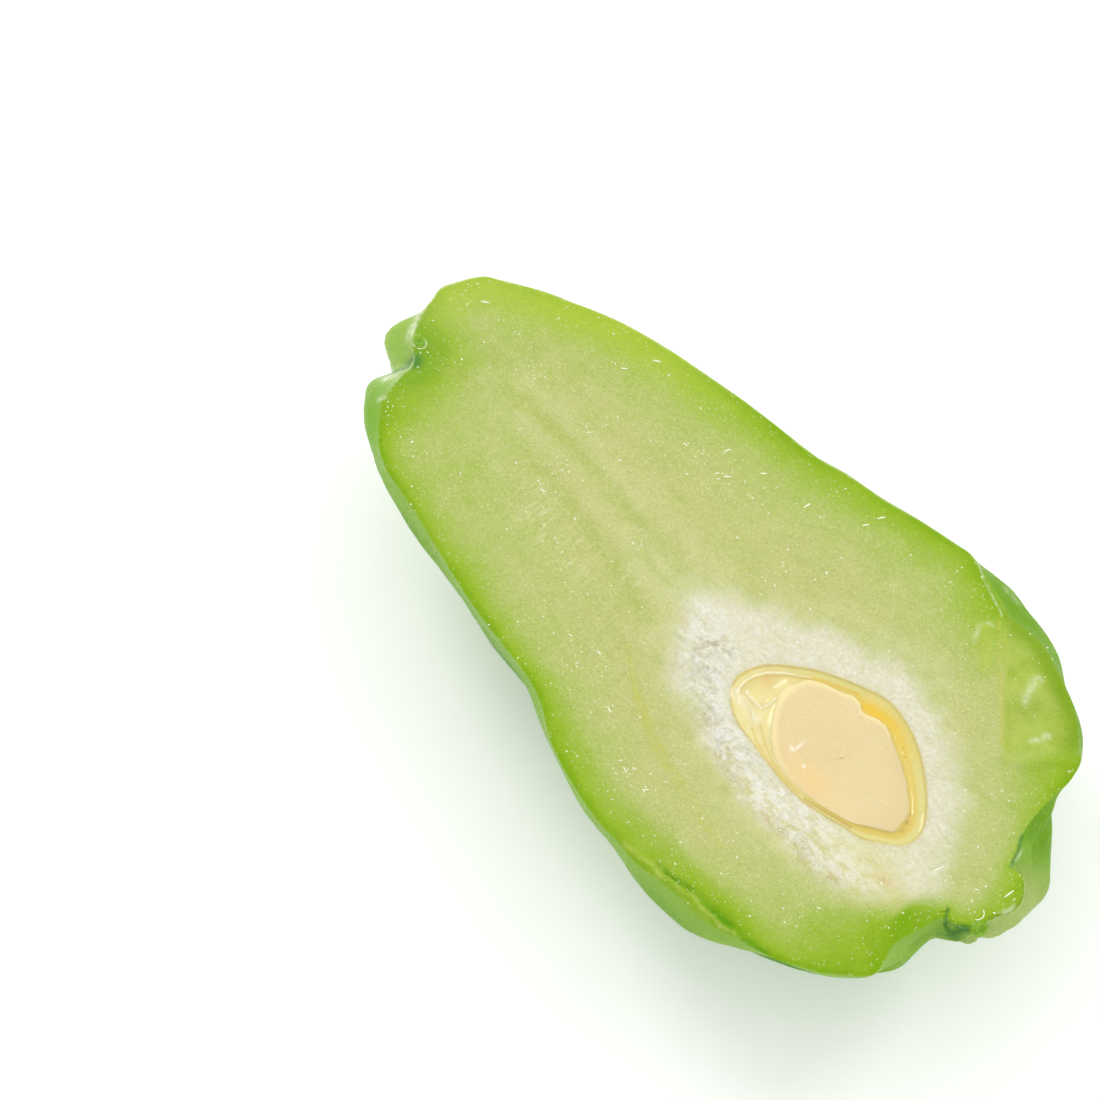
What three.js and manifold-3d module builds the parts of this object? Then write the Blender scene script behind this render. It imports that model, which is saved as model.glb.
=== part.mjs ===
// Half a chayote squash, cut lengthways through its seed and lying on its rounded back.
// Millimetres, +Z up. X runs from the stem end to the blossom end, and Y across the cut face.
// The fruit is drawn with the cut face at Z = 0 and the stem pit near X = 0, and is then moved so
// that the middle of its footprint is the origin.
import * as THREE from 'three';
import { mergeVertices } from 'three/addons/utils/BufferGeometryUtils.js';
import Module from 'manifold-3d';

const wasm = await Module();
wasm.setup();

// Sections through the fruit, from the stem pit to the blossom scar. Each one has its middle and its
// two ends on the cut face, how deep its belly hangs below the face, and how far the belly leans
// along the fruit.
const sections = [
  { middle: [2, 0], right: [2, 0], left: [2, 0], depth: 0, lean: 0 },
  { middle: [3.5, 1], right: [-4.4, 3.2], left: [1.4, -4.6], depth: 7, lean: -7 },
  { middle: [7, 3], right: [-9.4, 14], left: [4.2, -11.5], depth: 16, lean: -10 },
  { middle: [14, 6], right: [-4, 24], left: [12.6, -18.3], depth: 24, lean: -8 },
  { middle: [26, 8], right: [14.9, 33.9], left: [27, -21.6], depth: 30, lean: -4 },
  { middle: [46, 8.5], right: [41.4, 40.8], left: [46.5, -25.3], depth: 35, lean: 0 },
  { middle: [69, 8.5], right: [70, 45.4], left: [68.5, -30.5], depth: 38.5, lean: 0 },
  { middle: [92, 8], right: [98.5, 51], left: [91.5, -35.6], depth: 39.5, lean: 0 },
  { middle: [111, 7], right: [117.5, 51], left: [112, -36.5], depth: 37.5, lean: 0 },
  { middle: [128, 5], right: [135, 44.5], left: [131, -32.6], depth: 31, lean: -1 },
  { middle: [139, 3], right: [144.3, 35], left: [142.5, -25.5], depth: 22, lean: 0 },
  { middle: [145.5, 2], right: [149.5, 21], left: [148.5, -14], depth: 12, lean: 1 },
  { middle: [149, 1], right: [154, 9], left: [152.5, -6], depth: 5, lean: 1 },
  { middle: [151.5, 0], right: [151.5, 0], left: [151.5, 0], depth: 0, lean: 0 },
];

// Furrows between the lobes of the back. A turn of 0 degrees is the right-hand edge of the cut face,
// -90 the belly and -180 the left-hand edge. Each one starts part way along and is full near the end.
const furrows = [
  { turn: -88, depth: 0.12, width: 14, start: 0.3, full: 0.75 },
  { turn: -158, depth: 0.1, width: 11, start: 0.4, full: 0.8 },
  { turn: -20, depth: 0.06, width: 10, start: 0.45, full: 0.8 },
];

// Places where the skin is pushed in or out of the plain form: clefts where a furrow meets the cut
// edge, and lobes that swell below the edge. Each has its middle, its reach along X, Y and Z, and the
// push along X and Y.
const folds = [
  { at: [112, 52, 2], reach: [9, 9, 6], push: [-0.6, -2.5] },
  { at: [148.5, 20, 2.5], reach: [6.5, 7, 6], push: [-4, -4] },
  { at: [150, -10, 2], reach: [5, 5, 6], push: [-4, 3] },
  { at: [115, -38, 2], reach: [18, 9, 6], push: [0, 3.5] },
  { at: [132, 43, -12], reach: [16, 14, 9], push: [1, 1.5] },
  { at: [149, 17, -11], reach: [9, 9, 7], push: [4.5, 2] },
  { at: [151, 1, -6], reach: [6, 8, 5], push: [5, -1] },
  { at: [0, -12, -7], reach: [8, 9, 8], push: [-4, -2] },
  { at: [-10, 19, -9], reach: [7, 8, 9], push: [4, -1] },
  { at: [-5.8, 3.6, -5], reach: [5, 3.8, 5], push: [-5.5, -1.2] },
  { at: [-1, -5.5, -5], reach: [4.5, 3.5, 5], push: [-4, -0.5] },
  { at: [3, -11, -6], reach: [7, 5, 6], push: [-1.2, -0.6] },
  { at: [20, -21, -7], reach: [12, 8, 7], push: [-0.6, -1.6] },
  { at: [62, -28, -9], reach: [9, 9, 10], push: [0, 1.6] },
  { at: [108, -36, -8], reach: [14, 8, 7], push: [0, -1.2] },
  { at: [119, 48, -7], reach: [12, 8, 7], push: [1.9, 3.4] },
  { at: [106, 50, -7], reach: [10, 8, 7], push: [0.8, 3.2] },
  { at: [136, 42, -6], reach: [8, 8, 7], push: [1, 1] },
  { at: [-6, 0.3, -5], reach: [3.5, 2.8, 5], push: [-3.2, -0.9] },
  { at: [23.5, -21.4, -7], reach: [8, 7, 7], push: [0.2, 0.9] },
  { at: [111, 54, -6], reach: [3.6, 4, 6], push: [-1, -1.5] },
  { at: [128, 48.6, -6], reach: [6, 6, 6], push: [-0.9, -1.1] },
  { at: [116, -37, -7], reach: [8, 6, 6], push: [0.4, -1.8] },
  { at: [136, -31, -6], reach: [9, 7, 7], push: [-0.6, 1.8] },
  { at: [153.5, -1.5, -6], reach: [3, 3, 5], push: [1.2, -0.6] },
  { at: [152, -5, -8], reach: [6, 5, 8], push: [-2.8, 0.7] },
  { at: [149, -5.4, -8], reach: [3.2, 3, 6], push: [-1.3, 0.8] },
  { at: [156, 4.4, -6], reach: [2.6, 2.4, 5], push: [-1.9, 0.6] },
  { at: [144, 32, -5], reach: [3.6, 3.6, 5], push: [-1.9, -1.2] },
  { at: [122, -36, -7], reach: [7, 5, 6], push: [0, -1.5] },
  { at: [132.5, -32, -5], reach: [4.5, 4.5, 6], push: [-0.3, 1.2] },
  { at: [147, -14, -6], reach: [4, 4, 6], push: [2, 0] },
  { at: [154, 9, -6], reach: [6, 5.5, 6], push: [3, -1.5] },
  { at: [150, 15, -6], reach: [5, 5, 6], push: [2.6, 1.2] },
];

// The edge that the knife left, from the stem pit to the blossom scar, down each side of the face.
const rightTrace = [
  [-0.2, 0.2], [-1.6, 1.6], [-3.6, 2.7], [-5.3, 4.4], [-7, 7.2], [-7.7, 9.4], [-8.7, 12.5],
  [-9.3, 14.8], [-8.1, 18.5], [-6, 22.5], [-3.3, 24.4], [0.1, 26.6], [5.3, 29.7], [9.6, 31.7],
  [14.7, 34.1], [20.6, 36.3], [27.4, 38.1], [34.2, 39.5], [46.7, 41.6], [54.3, 42.5], [61.1, 43.2],
  [65.9, 43.9], [71.2, 45.4], [79.1, 46.8], [83.2, 47.8], [88.9, 49.2], [95.6, 50.5], [99, 51],
  [102.6, 50.2], [107, 48.9], [110.6, 48], [113.8, 48], [117.4, 49.1], [120.8, 49.3], [124.5, 48.3],
  [127.9, 47.1], [131.2, 45.7], [135, 43.3], [139.3, 39.6], [141.8, 36.9], [143.1, 34.4],
  [143.8, 31.6], [143.9, 28.4], [144.2, 24.4], [145.3, 19.1], [147.4, 15.7], [148.9, 12.9],
  [151.3, 13], [154.5, 10], [155.2, 6.7], [154.4, 4.9], [153.8, 2.9], [153.4, 0.6],
];
const leftTrace = [
  [-0.2, 0.2], [0.5, -1.4], [0.8, -3.8], [1.9, -7.2], [3, -10.2], [5.6, -13], [8.9, -15.9],
  [11.4, -17.4], [14.5, -18.6], [17.5, -19.2], [21.5, -19.9], [25.4, -20.6], [33.3, -22.3],
  [41.7, -24.1], [50.3, -25.5], [61.9, -26.7], [65.8, -27.3], [70.6, -28.9], [74.2, -30.9],
  [78.3, -32.8], [83.3, -34.3], [87.7, -35.3], [91.3, -35.9], [95.9, -36.4], [100, -36.2],
  [103.2, -36.5], [106.8, -36.2], [110, -35.6], [115, -34.8], [120, -34.7], [123.5, -33.9],
  [127.5, -32.6], [131.4, -31.6], [134.7, -30.4], [139.5, -27.6], [142, -26], [145, -23.1],
  [147.3, -20.6], [147.9, -18.6], [147.3, -16.6], [146.2, -13.6], [146, -11.8], [146.5, -9.6],
  [146.8, -7.8], [147.4, -5.4], [148, -3.4], [149, -2.9], [150.6, -2.4], [152.2, -1.2],
  [153.4, 0.6],
];
const edgeReachDown = 4.5; // how far below the face the skin follows that edge

// Beside the seed the face dips towards a cleft between two lobes.
const cleft = { at: [131.6, 44.8, 6], halfLength: 17, halfWidth: 12.5, depth: 9.6, taper: 0, turn: -44.4 };

// The seed lies flat behind the cut face: its hollow in the flesh, and the cut seed leaf.
const hollow = { at: [112, 6], halfLength: 22, halfWidth: 12.8, depth: 8.5, taper: 0.1, turn: -4 };
const kernel = { at: [114, 5], halfLength: 16.6, halfWidth: 10.2, depth: 6, taper: 0.14, turn: -7 };

const gap = 0.3; // room between the pieces, which only rest in each other
const aroundFruit = 72;
const alongFruit = 80;
const fineSteps = 800;
const aroundSeed = 36;
const alongSeed = 24;
const cutHeight = 60; // taller than any part above the cut
const span = 400; // wider than the fruit

const skinMaterial = new THREE.MeshStandardMaterial({ color: 0xa9c862, roughness: 0.4, metalness: 0 });
const jellyMaterial = new THREE.MeshStandardMaterial({ color: 0xe0d58a, roughness: 0.2, metalness: 0 });
const seedMaterial = new THREE.MeshStandardMaterial({ color: 0xf0ddac, roughness: 0.45, metalness: 0 });

const through = (points) => new THREE.CatmullRomCurve3(points, false, 'catmullrom', 0.5);
const onFace = (key) => through(sections.map((s) => new THREE.Vector3(...s[key], 0)));
const middleLine = onFace('middle');
const rightEdge = onFace('right');
const leftEdge = onFace('left');
const belly = through(sections.map((s) => new THREE.Vector3(s.lean, 0, s.depth)));

// How far the furrows pull a point in, as a share of its distance from the middle line.
function furrowPull(along, turn) {
  let pull = 0;
  for (const furrow of furrows) {
    const off = (THREE.MathUtils.radToDeg(turn) - furrow.turn) / furrow.width;
    const grown = THREE.MathUtils.smoothstep(along, furrow.start, furrow.full);
    pull += furrow.depth * grown * Math.exp(-off * off);
  }
  return pull;
}

function foldPush(point) {
  const push = new THREE.Vector3();
  for (const fold of folds) {
    const off = point.toArray().map((value, axis) => (value - fold.at[axis]) / fold.reach[axis]);
    const share = Math.exp(-off.reduce((sum, value) => sum + value * value, 0));
    push.add(new THREE.Vector3(...fold.push, 0).multiplyScalar(share));
  }
  return push;
}

// A point of the plain form, given how far along the fruit it is (0 to 1) and its turn about it.
function plainPoint(along, turn) {
  const middle = middleLine.getPoint(along);
  const right = rightEdge.getPoint(along);
  const left = leftEdge.getPoint(along);
  const hang = belly.getPoint(along);
  const across = Math.cos(turn);
  const down = Math.sin(turn);
  const half = right.clone().sub(left).multiplyScalar(across / 2);
  const bend = right.clone().add(left).multiplyScalar(0.5).sub(middle).multiplyScalar(across * across);
  const radial = half.add(bend);
  radial.x += hang.x * down * down;
  radial.z += hang.z * down;
  radial.multiplyScalar(1 - furrowPull(along, turn));
  const point = middle.clone().add(radial);
  return point.add(foldPush(point));
}

// How far the plain form's edge has to move to lie on the knife's edge, in fine steps.
function edgeShift(turn, trace) {
  const knife = through(trace.map(([x, y]) => new THREE.Vector3(x, y, 0)));
  knife.arcLengthDivisions = fineSteps;
  const edge = Array.from({ length: fineSteps + 1 }, (_, i) => plainPoint(i / fineSteps, turn));
  const reach = [0];
  for (let i = 1; i <= fineSteps; i += 1) {
    reach.push(reach[i - 1] + edge[i].distanceTo(edge[i - 1]));
  }
  return edge.map((point, i) => knife.getPointAt(reach[i] / reach[fineSteps]).sub(point));
}

const rightShift = edgeShift(0, rightTrace);
const leftShift = edgeShift(-Math.PI, leftTrace);

// A point of the skin, fitted to the knife's edge where it is near the face.
function skinPoint(along, turn) {
  const point = plainPoint(along, turn);
  const near = Math.exp(-((point.z / edgeReachDown) ** 2));
  const step = Math.round(along * fineSteps);
  const toRight = 0.5 + 0.5 * Math.cos(turn);
  point.addScaledVector(rightShift[step], near * toRight);
  point.addScaledVector(leftShift[step], near * (1 - toRight));
  return point;
}

// Moves every vertex of a unit sphere whose poles lie on its own Y axis.
function shapedSphere(around, along, place) {
  const geometry = new THREE.SphereGeometry(1, around, along);
  const position = geometry.attributes.position;
  const unit = new THREE.Vector3();
  for (let i = 0; i < position.count; i += 1) {
    unit.fromBufferAttribute(position, i);
    position.setXYZ(i, ...place(unit).toArray());
  }
  return geometry;
}

function solid(geometry) {
  const bare = geometry.clone();
  bare.deleteAttribute('normal');
  bare.deleteAttribute('uv');
  const merged = mergeVertices(bare, 1e-4);
  const vertProperties = new Float32Array(merged.attributes.position.array);
  const triVerts = new Uint32Array(merged.index.array);
  return new wasm.Manifold(new wasm.Mesh({ numProp: 3, vertProperties, triVerts }));
}

function geometryOf(manifold) {
  const mesh = manifold.getMesh();
  const geometry = new THREE.BufferGeometry();
  geometry.setAttribute('position', new THREE.BufferAttribute(mesh.vertProperties, 3));
  geometry.setIndex(new THREE.BufferAttribute(mesh.triVerts, 1));
  geometry.computeVertexNormals();
  return geometry;
}

function wholeFruit() {
  return solid(shapedSphere(aroundFruit, alongFruit, (unit) => {
    const along = Math.acos(THREE.MathUtils.clamp(unit.y, -1, 1)) / Math.PI;
    const turn = Math.atan2(unit.z, unit.x);
    const point = skinPoint(along, -Math.abs(turn));
    point.z *= turn > 0 ? -1 : 1;
    return point;
  }));
}

// An egg lying on its side, its narrow end towards the blossom end.
function egg(form, grow) {
  const turn = THREE.MathUtils.degToRad(form.turn);
  return solid(shapedSphere(aroundSeed, alongSeed, (unit) => {
    const point = new THREE.Vector3(
      -(form.halfLength + grow) * unit.y,
      (form.halfWidth + grow) * unit.x * (1 + form.taper * unit.y),
      (form.depth + grow) * unit.z,
    );
    point.applyAxisAngle(new THREE.Vector3(0, 0, 1), turn);
    return point.add(new THREE.Vector3(form.at[0], form.at[1], form.at[2] ?? 0));
  }));
}

const removedHalf = solid(new THREE.BoxGeometry(span, span, cutHeight).translate(0, 0, cutHeight / 2));

function fruitHalf() {
  return wholeFruit().subtract(removedHalf).subtract(egg(hollow, 0)).subtract(egg(cleft, 0));
}

function seedCoat() {
  return egg(hollow, -gap).subtract(removedHalf).subtract(egg(kernel, gap));
}

function seedKernel() {
  return egg(kernel, 0).subtract(removedHalf);
}

const group = new THREE.Group();

function addPiece(name, manifold, material) {
  const mesh = new THREE.Mesh(geometryOf(manifold), material);
  mesh.name = name;
  group.add(mesh);
}

addPiece('fruit_half', fruitHalf(), skinMaterial);
addPiece('seed_coat', seedCoat(), jellyMaterial);
addPiece('seed_kernel', seedKernel(), seedMaterial);

const box = new THREE.Box3().setFromObject(group);
const centre = box.getCenter(new THREE.Vector3());
group.position.set(-centre.x, -centre.y, -box.min.z);

export default group;
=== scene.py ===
"""Half a chayote squash, cut lengthways through its seed, lying on its rounded back.

The form is worked out in millimetres with the cut face at height 0 and the stem pit near x 0, and is
then moved to the frame's place in metres. x runs from the stem end to the blossom end.
"""
import math
import random

import bpy
import numpy as np
from mathutils import Matrix, Vector
from mathutils.kdtree import KDTree


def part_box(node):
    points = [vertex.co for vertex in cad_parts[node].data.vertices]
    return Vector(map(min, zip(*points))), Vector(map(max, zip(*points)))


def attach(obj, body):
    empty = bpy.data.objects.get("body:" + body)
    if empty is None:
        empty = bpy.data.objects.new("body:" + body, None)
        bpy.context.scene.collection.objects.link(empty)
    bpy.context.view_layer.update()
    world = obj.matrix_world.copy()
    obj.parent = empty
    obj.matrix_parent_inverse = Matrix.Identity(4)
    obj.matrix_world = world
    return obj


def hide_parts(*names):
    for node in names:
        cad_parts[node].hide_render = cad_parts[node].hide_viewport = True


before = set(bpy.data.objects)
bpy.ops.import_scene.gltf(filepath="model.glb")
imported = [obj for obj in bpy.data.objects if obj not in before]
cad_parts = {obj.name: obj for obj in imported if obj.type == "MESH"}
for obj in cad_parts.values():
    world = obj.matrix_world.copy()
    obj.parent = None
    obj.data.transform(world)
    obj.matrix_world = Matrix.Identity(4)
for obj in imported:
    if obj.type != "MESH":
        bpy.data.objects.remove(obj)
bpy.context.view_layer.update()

MM = 0.001

# Sections through the fruit, from the stem pit to the blossom scar. Each one has its middle and its
# two ends on the cut face (x, y), how deep its belly hangs below, and how far the belly leans along.
SECTIONS = [
    # middle        right           left            depth lean
    ((2, 0), (2, 0), (2, 0), 0, 0),
    ((3.5, 1), (-4.4, 3.2), (1.4, -4.6), 7, -7),
    ((7, 3), (-9.4, 14), (4.2, -11.5), 16, -10),
    ((14, 6), (-4, 24), (12.6, -18.3), 24, -8),
    ((26, 8), (14.9, 33.9), (27, -21.6), 30, -4),
    ((46, 8.5), (41.4, 40.8), (46.5, -25.3), 35, 0),
    ((69, 8.5), (70, 45.4), (68.5, -30.5), 38.5, 0),
    ((92, 8), (98.5, 51), (91.5, -35.6), 39.5, 0),
    ((111, 7), (117.5, 51), (112, -36.5), 37.5, 0),
    ((128, 5), (135, 44.5), (131, -32.6), 31, -1),
    ((139, 3), (144.3, 35), (142.5, -25.5), 22, 0),
    ((145.5, 2), (149.5, 21), (148.5, -14), 12, 1),
    ((149, 1), (154, 9), (152.5, -6), 5, 1),
    ((151.5, 0), (151.5, 0), (151.5, 0), 0, 0),
]

# Furrows between the lobes: turn about the fruit in degrees (0 the right cut edge, -90 the belly, -180
# the left cut edge), depth as a share of the radius, width in degrees, and where they start and are full.
FURROWS = [
    (-88, 0.12, 14, 0.30, 0.75),
    (-158, 0.10, 11, 0.40, 0.80),
    (-20, 0.06, 10, 0.45, 0.80),
]
CREASE_WIDTH = 3.6
CREASE_DEPTH = 1.5

# Places where the skin is pushed in or out of the plain form: middle, reach and push.
FOLDS = [
    ((112, 52, 2), (9, 9, 6), (-0.6, -2.5)),
    ((148.5, 20, 2.5), (6.5, 7, 6), (-4, -4)),
    ((150, -10, 2), (5, 5, 6), (-4, 3)),
    ((115, -38, 2), (18, 9, 6), (0, 3.5)),
    ((132, 43, -12), (16, 14, 9), (1, 1.5)),
    ((149, 17, -11), (9, 9, 7), (4.5, 2)),
    ((151, 1, -6), (6, 8, 5), (5, -1)),
    ((0, -12, -7), (8, 9, 8), (-4, -2)),
    ((-10, 19, -9), (7, 8, 9), (4, -1)),
    ((-5.8, 3.6, -5), (5, 3.8, 5), (-5.5, -1.2)),
    ((-1, -5.5, -5), (4.5, 3.5, 5), (-4, -0.5)),
    ((3, -11, -6), (7, 5, 6), (-1.2, -0.6)),
    ((20, -21, -7), (12, 8, 7), (-0.6, -1.6)),
    ((62, -28, -9), (9, 9, 10), (0, 1.6)),
    ((108, -36, -8), (14, 8, 7), (0, -1.2)),
    ((119, 48, -7), (12, 8, 7), (1.9, 3.4)),
    ((106, 50, -7), (10, 8, 7), (0.8, 3.2)),
    ((136, 42, -6), (8, 8, 7), (1, 1)),
    ((-6, 0.3, -5), (3.5, 2.8, 5), (-3.2, -0.9)),
    ((23.5, -21.4, -7), (8, 7, 7), (0.2, 0.9)),
    ((111, 54, -6), (3.6, 4, 6), (-1, -1.5)),
    ((128, 48.6, -6), (6, 6, 6), (-0.9, -1.1)),
    ((116, -37, -7), (8, 6, 6), (0.4, -1.8)),
    ((136, -31, -6), (9, 7, 7), (-0.6, 1.8)),
    ((153.5, -1.5, -6), (3, 3, 5), (1.2, -0.6)),
    ((152, -5, -8), (6, 5, 8), (-2.8, 0.7)),
    ((149, -5.4, -8), (3.2, 3, 6), (-1.3, 0.8)),
    ((156, 4.4, -6), (2.6, 2.4, 5), (-1.9, 0.6)),
    ((144, 32, -5), (3.6, 3.6, 5), (-1.9, -1.2)),
    ((122, -36, -7), (7, 5, 6), (0, -1.5)),
    ((132.5, -32, -5), (4.5, 4.5, 6), (-0.3, 1.2)),
    ((147, -14, -6), (4, 4, 6), (2, 0)),
    ((154, 9, -6), (6, 5.5, 6), (3, -1.5)),
    ((150, 15, -6), (5, 5, 6), (2.6, 1.2)),
]

# The edge that the knife left, from the stem pit to the blossom scar, down each side of the face.
RIGHT_EDGE = [
    (-0.2, 0.2), (-1.6, 1.6), (-3.6, 2.7), (-5.3, 4.4), (-7, 7.2), (-7.7, 9.4), (-8.7, 12.5),
    (-9.3, 14.8), (-8.1, 18.5), (-6, 22.5), (-3.3, 24.4), (0.1, 26.6), (5.3, 29.7), (9.6, 31.7),
    (14.7, 34.1), (20.6, 36.3), (27.4, 38.1), (34.2, 39.5), (46.7, 41.6), (54.3, 42.5), (61.1, 43.2),
    (65.9, 43.9), (71.2, 45.4), (79.1, 46.8), (83.2, 47.8), (88.9, 49.2), (95.6, 50.5), (99, 51),
    (102.6, 50.2), (107, 48.9), (110.6, 48), (113.8, 48), (117.4, 49.1), (120.8, 49.3),
    (124.5, 48.3), (127.9, 47.1), (131.2, 45.7), (135, 43.3), (139.3, 39.6), (141.8, 36.9),
    (143.1, 34.4), (143.8, 31.6), (143.9, 28.4), (144.2, 24.4), (145.3, 19.1), (147.4, 15.7), (148.9, 12.9),
    (151.3, 13), (154.5, 10), (155.2, 6.7), (154.4, 4.9), (153.8, 2.9), (153.4, 0.6),
]
LEFT_EDGE = [
    (-0.2, 0.2), (0.5, -1.4), (0.8, -3.8), (1.9, -7.2), (3, -10.2), (5.6, -13), (8.9, -15.9),
    (11.4, -17.4), (14.5, -18.6), (17.5, -19.2), (21.5, -19.9), (25.4, -20.6), (33.3, -22.3),
    (41.7, -24.1), (50.3, -25.5), (61.9, -26.7), (65.8, -27.3), (70.6, -28.9), (74.2, -30.9),
    (78.3, -32.8), (83.3, -34.3), (87.7, -35.3), (91.3, -35.9), (95.9, -36.4), (100, -36.2),
    (103.2, -36.5), (106.8, -36.2), (110, -35.6), (115, -34.8), (120, -34.7), (123.5, -33.9),
    (127.5, -32.6), (131.4, -31.6), (134.7, -30.4), (139.5, -27.6), (142, -26), (145, -23.1),
    (147.3, -20.6), (147.9, -18.6), (147.3, -16.6), (146.2, -13.6), (146, -11.8), (146.5, -9.6),
    (146.8, -7.8), (147.4, -5.4), (148, -3.4), (149, -2.9), (150.6, -2.4), (152.2, -1.2),
    (153.4, 0.6),
]
# Beside the seed the cut meets a cleft between two lobes and sags into it. The cleft's line runs from
# its upper to its lower end, and the sag grows away from that line.
CLEFT_MIDDLE = (122.7, 35.7)
CLEFT_OUT = (0.70, 0.714)
CLEFT_SAG = 4.2
EDGE_REACH_DOWN = 4.5
EDGE_REACH_IN = 8

# Closed outlines on the cut face.
HOLLOW_EDGE = [
    (92, -2.3), (90.4, -0.6), (89.7, 1.4), (89.9, 4), (91.1, 6.8), (92.9, 9), (95.4, 11.1),
    (98.1, 13.2), (101.1, 14.9), (104.2, 16.4), (107.1, 17.6), (110.1, 18.6), (113.4, 18.7),
    (116.8, 18), (120.5, 16.7), (123.7, 15), (127.4, 12.4), (130.7, 9.5), (133.1, 6.7),
    (134, 4.5), (133.9, 2.3), (132.9, 0.5), (131, -1), (129.1, -2.5), (126.9, -3.6),
    (124, -4.2), (120.6, -5.2), (117.7, -5.9), (115.4, -6.3), (112, -6.5), (108.3, -6.3),
    (104.4, -5.9), (100.4, -5.3), (97.1, -4.8), (94.3, -3.8),
]
LEAF_EDGE = [
    (97.2, 9), (98.2, 10.8), (100.3, 12.2), (102.3, 13.1), (104.6, 14.1), (106.2, 14.8),
    (107.8, 14.8), (109, 14), (110.6, 14.1), (112.3, 14.8), (114.3, 15.1), (116.6, 14.3),
    (119.2, 13.2), (122.2, 11.8), (125.3, 10), (127.8, 8.1), (129.7, 6.3), (130.6, 3.8),
    (130.5, 1.7), (129.1, 0.5), (126.9, -1), (124.6, -2.7), (122.1, -3.6), (118.5, -4.6),
    (115.6, -5.2), (112.2, -5.4), (109.1, -5.2), (106.1, -4.5), (103.4, -3), (101, -0.9),
    (99.4, 0.9), (98.1, 2.9), (97.2, 4.8), (96.9, 7),
]
LEAF_MIDDLE = (114, 4.6)
CORE_EDGE = [
    (71.5, 6.7), (74.6, 0.6), (77.9, -4.5), (85, -8.1), (91.8, -11.3), (99.3, -13.6),
    (106.3, -15.3), (112.3, -15.6), (118, -15), (124, -15.6), (131.7, -14.4), (138.4, -10),
    (143.4, -2.6), (142.6, 4.1), (138.4, 10.1), (131.8, 16.8), (124.4, 22.2), (117.6, 25),
    (109.3, 26.2), (102.3, 24.6), (95.6, 21.7), (88.8, 17.6), (82.6, 14.5), (75.6, 11.4),
]
CORE_MIDDLE = (110, 4.6)

AROUND = 224  # faces round the fruit
ON_FACE = 170  # those of them that lie across the cut face
ALONG = 400  # faces from the stem pit to the blossom scar
RIM_POINTS = 1200  # along each edge, to measure a point's distance from the rim
FLOOR_FADE = (-36.8, -31)  # heights between which the skin's relief dies out, down to the floor
HOLLOW_DEPTH = 8
JELLY_DEPTH = 3.6
LEAF_DEPTH = 5.8
JELLY_OUT = 1.006  # the jelly reaches a little into the hollow's wall
JELLY_IN = 0.975  # and a little into the seed leaf
# Faces round and along the smaller pieces.
HOLLOW_FACES = (180, 32)
JELLY_FACES = (480, 96)
LEAF_FACES = (240, 150)
NUB_FACES = (40, 28)
BEAD_FACES = (8, 5)

# Where the fruit's own zero lies in the frame, in millimetres from its box.
PIT_FROM_STEM_END = 11.143
PIT_FROM_LEFT = 37.320
fruit_low, fruit_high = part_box("fruit_half")
ZERO = Vector((fruit_low[0] + PIT_FROM_STEM_END * MM, fruit_low[1] + PIT_FROM_LEFT * MM, fruit_high[2]))


# ---------------------------------------------------------------- helpers

def select_only(obj):
    bpy.ops.object.select_all(action="DESELECT")
    obj.select_set(True)
    bpy.context.view_layer.objects.active = obj


def new_piece(name, add, **settings):
    """Adds a primitive under a name of its own."""
    bpy.ops.object.select_all(action="DESELECT")
    add(**settings)
    obj = bpy.context.object
    obj.name = obj.data.name = name
    return obj


def ball(name, around, along):
    add = bpy.ops.mesh.primitive_uv_sphere_add
    return new_piece(name, add, segments=around, ring_count=along, radius=1)


def points_of(obj):
    points = np.empty(len(obj.data.vertices) * 3)
    obj.data.vertices.foreach_get("co", points)
    return points.reshape(-1, 3)


def set_points(obj, points):
    obj.data.vertices.foreach_set("co", points.ravel())
    obj.data.update()


def to_frame(points):
    """From the fruit's own millimetres to the frame's metres."""
    return points * MM + np.array(ZERO)


def to_fruit(points):
    return (points - np.array(ZERO)) / MM


def outward(obj):
    """Joins doubled points and turns every face outward."""
    select_only(obj)
    bpy.ops.object.mode_set(mode="EDIT")
    bpy.ops.mesh.select_all(action="SELECT")
    bpy.ops.mesh.remove_doubles(threshold=1e-6)
    bpy.ops.mesh.normals_make_consistent(inside=False)
    bpy.ops.object.mode_set(mode="OBJECT")


def add_masks(obj, **masks):
    """Writes a value at every point, for the finishes to read by name."""
    for name, values in masks.items():
        layer = obj.data.attributes.new(name, "FLOAT", "POINT")
        layer.data.foreach_set("value", np.ascontiguousarray(values, dtype=np.float32))


def held(value):
    return np.clip(value, 0, 1)


def step(low, high, value):
    share = held((value - low) / (high - low))
    return share * share * (3 - 2 * share)


def bump(distance, width):
    return np.exp(-(distance / width) ** 2)


def polar(points):
    """Bearing and distance of every point from the upright axis."""
    return np.arctan2(points[:, 1], points[:, 0]), np.hypot(points[:, 0], points[:, 1])


def level(flat):
    """Lays points of the plane at the height of the cut."""
    return np.column_stack([flat, np.zeros(len(flat))])


def spot(points, middle, reach):
    """1 at the middle of a soft spot, fading over its reach."""
    away = (points[:, :len(middle)] - np.array(middle)) / np.array(reach)
    return np.exp(-(away**2).sum(axis=1))


def spots(points, places):
    """The sum of soft spots, each one a middle, a reach and an amount."""
    total = np.zeros(len(points))
    for middle, reach, amount in places:
        total += spot(points, middle, reach) * amount
    return total


def scatter(x, y, z, salt):
    """A steady random number from 0 to 1 for every lattice point."""
    mixed = (x * 73856093) ^ (y * 19349663) ^ (z * 83492791) ^ (salt * 2654435)
    mixed = (mixed ^ (mixed >> 13)) * 1274126177 & 0xFFFFFFFF
    mixed = (mixed ^ (mixed >> 16)) * 668265263 & 0xFFFFFFFF
    return ((mixed ^ (mixed >> 15)) & 0xFFFFFF) / 0xFFFFFF


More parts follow.
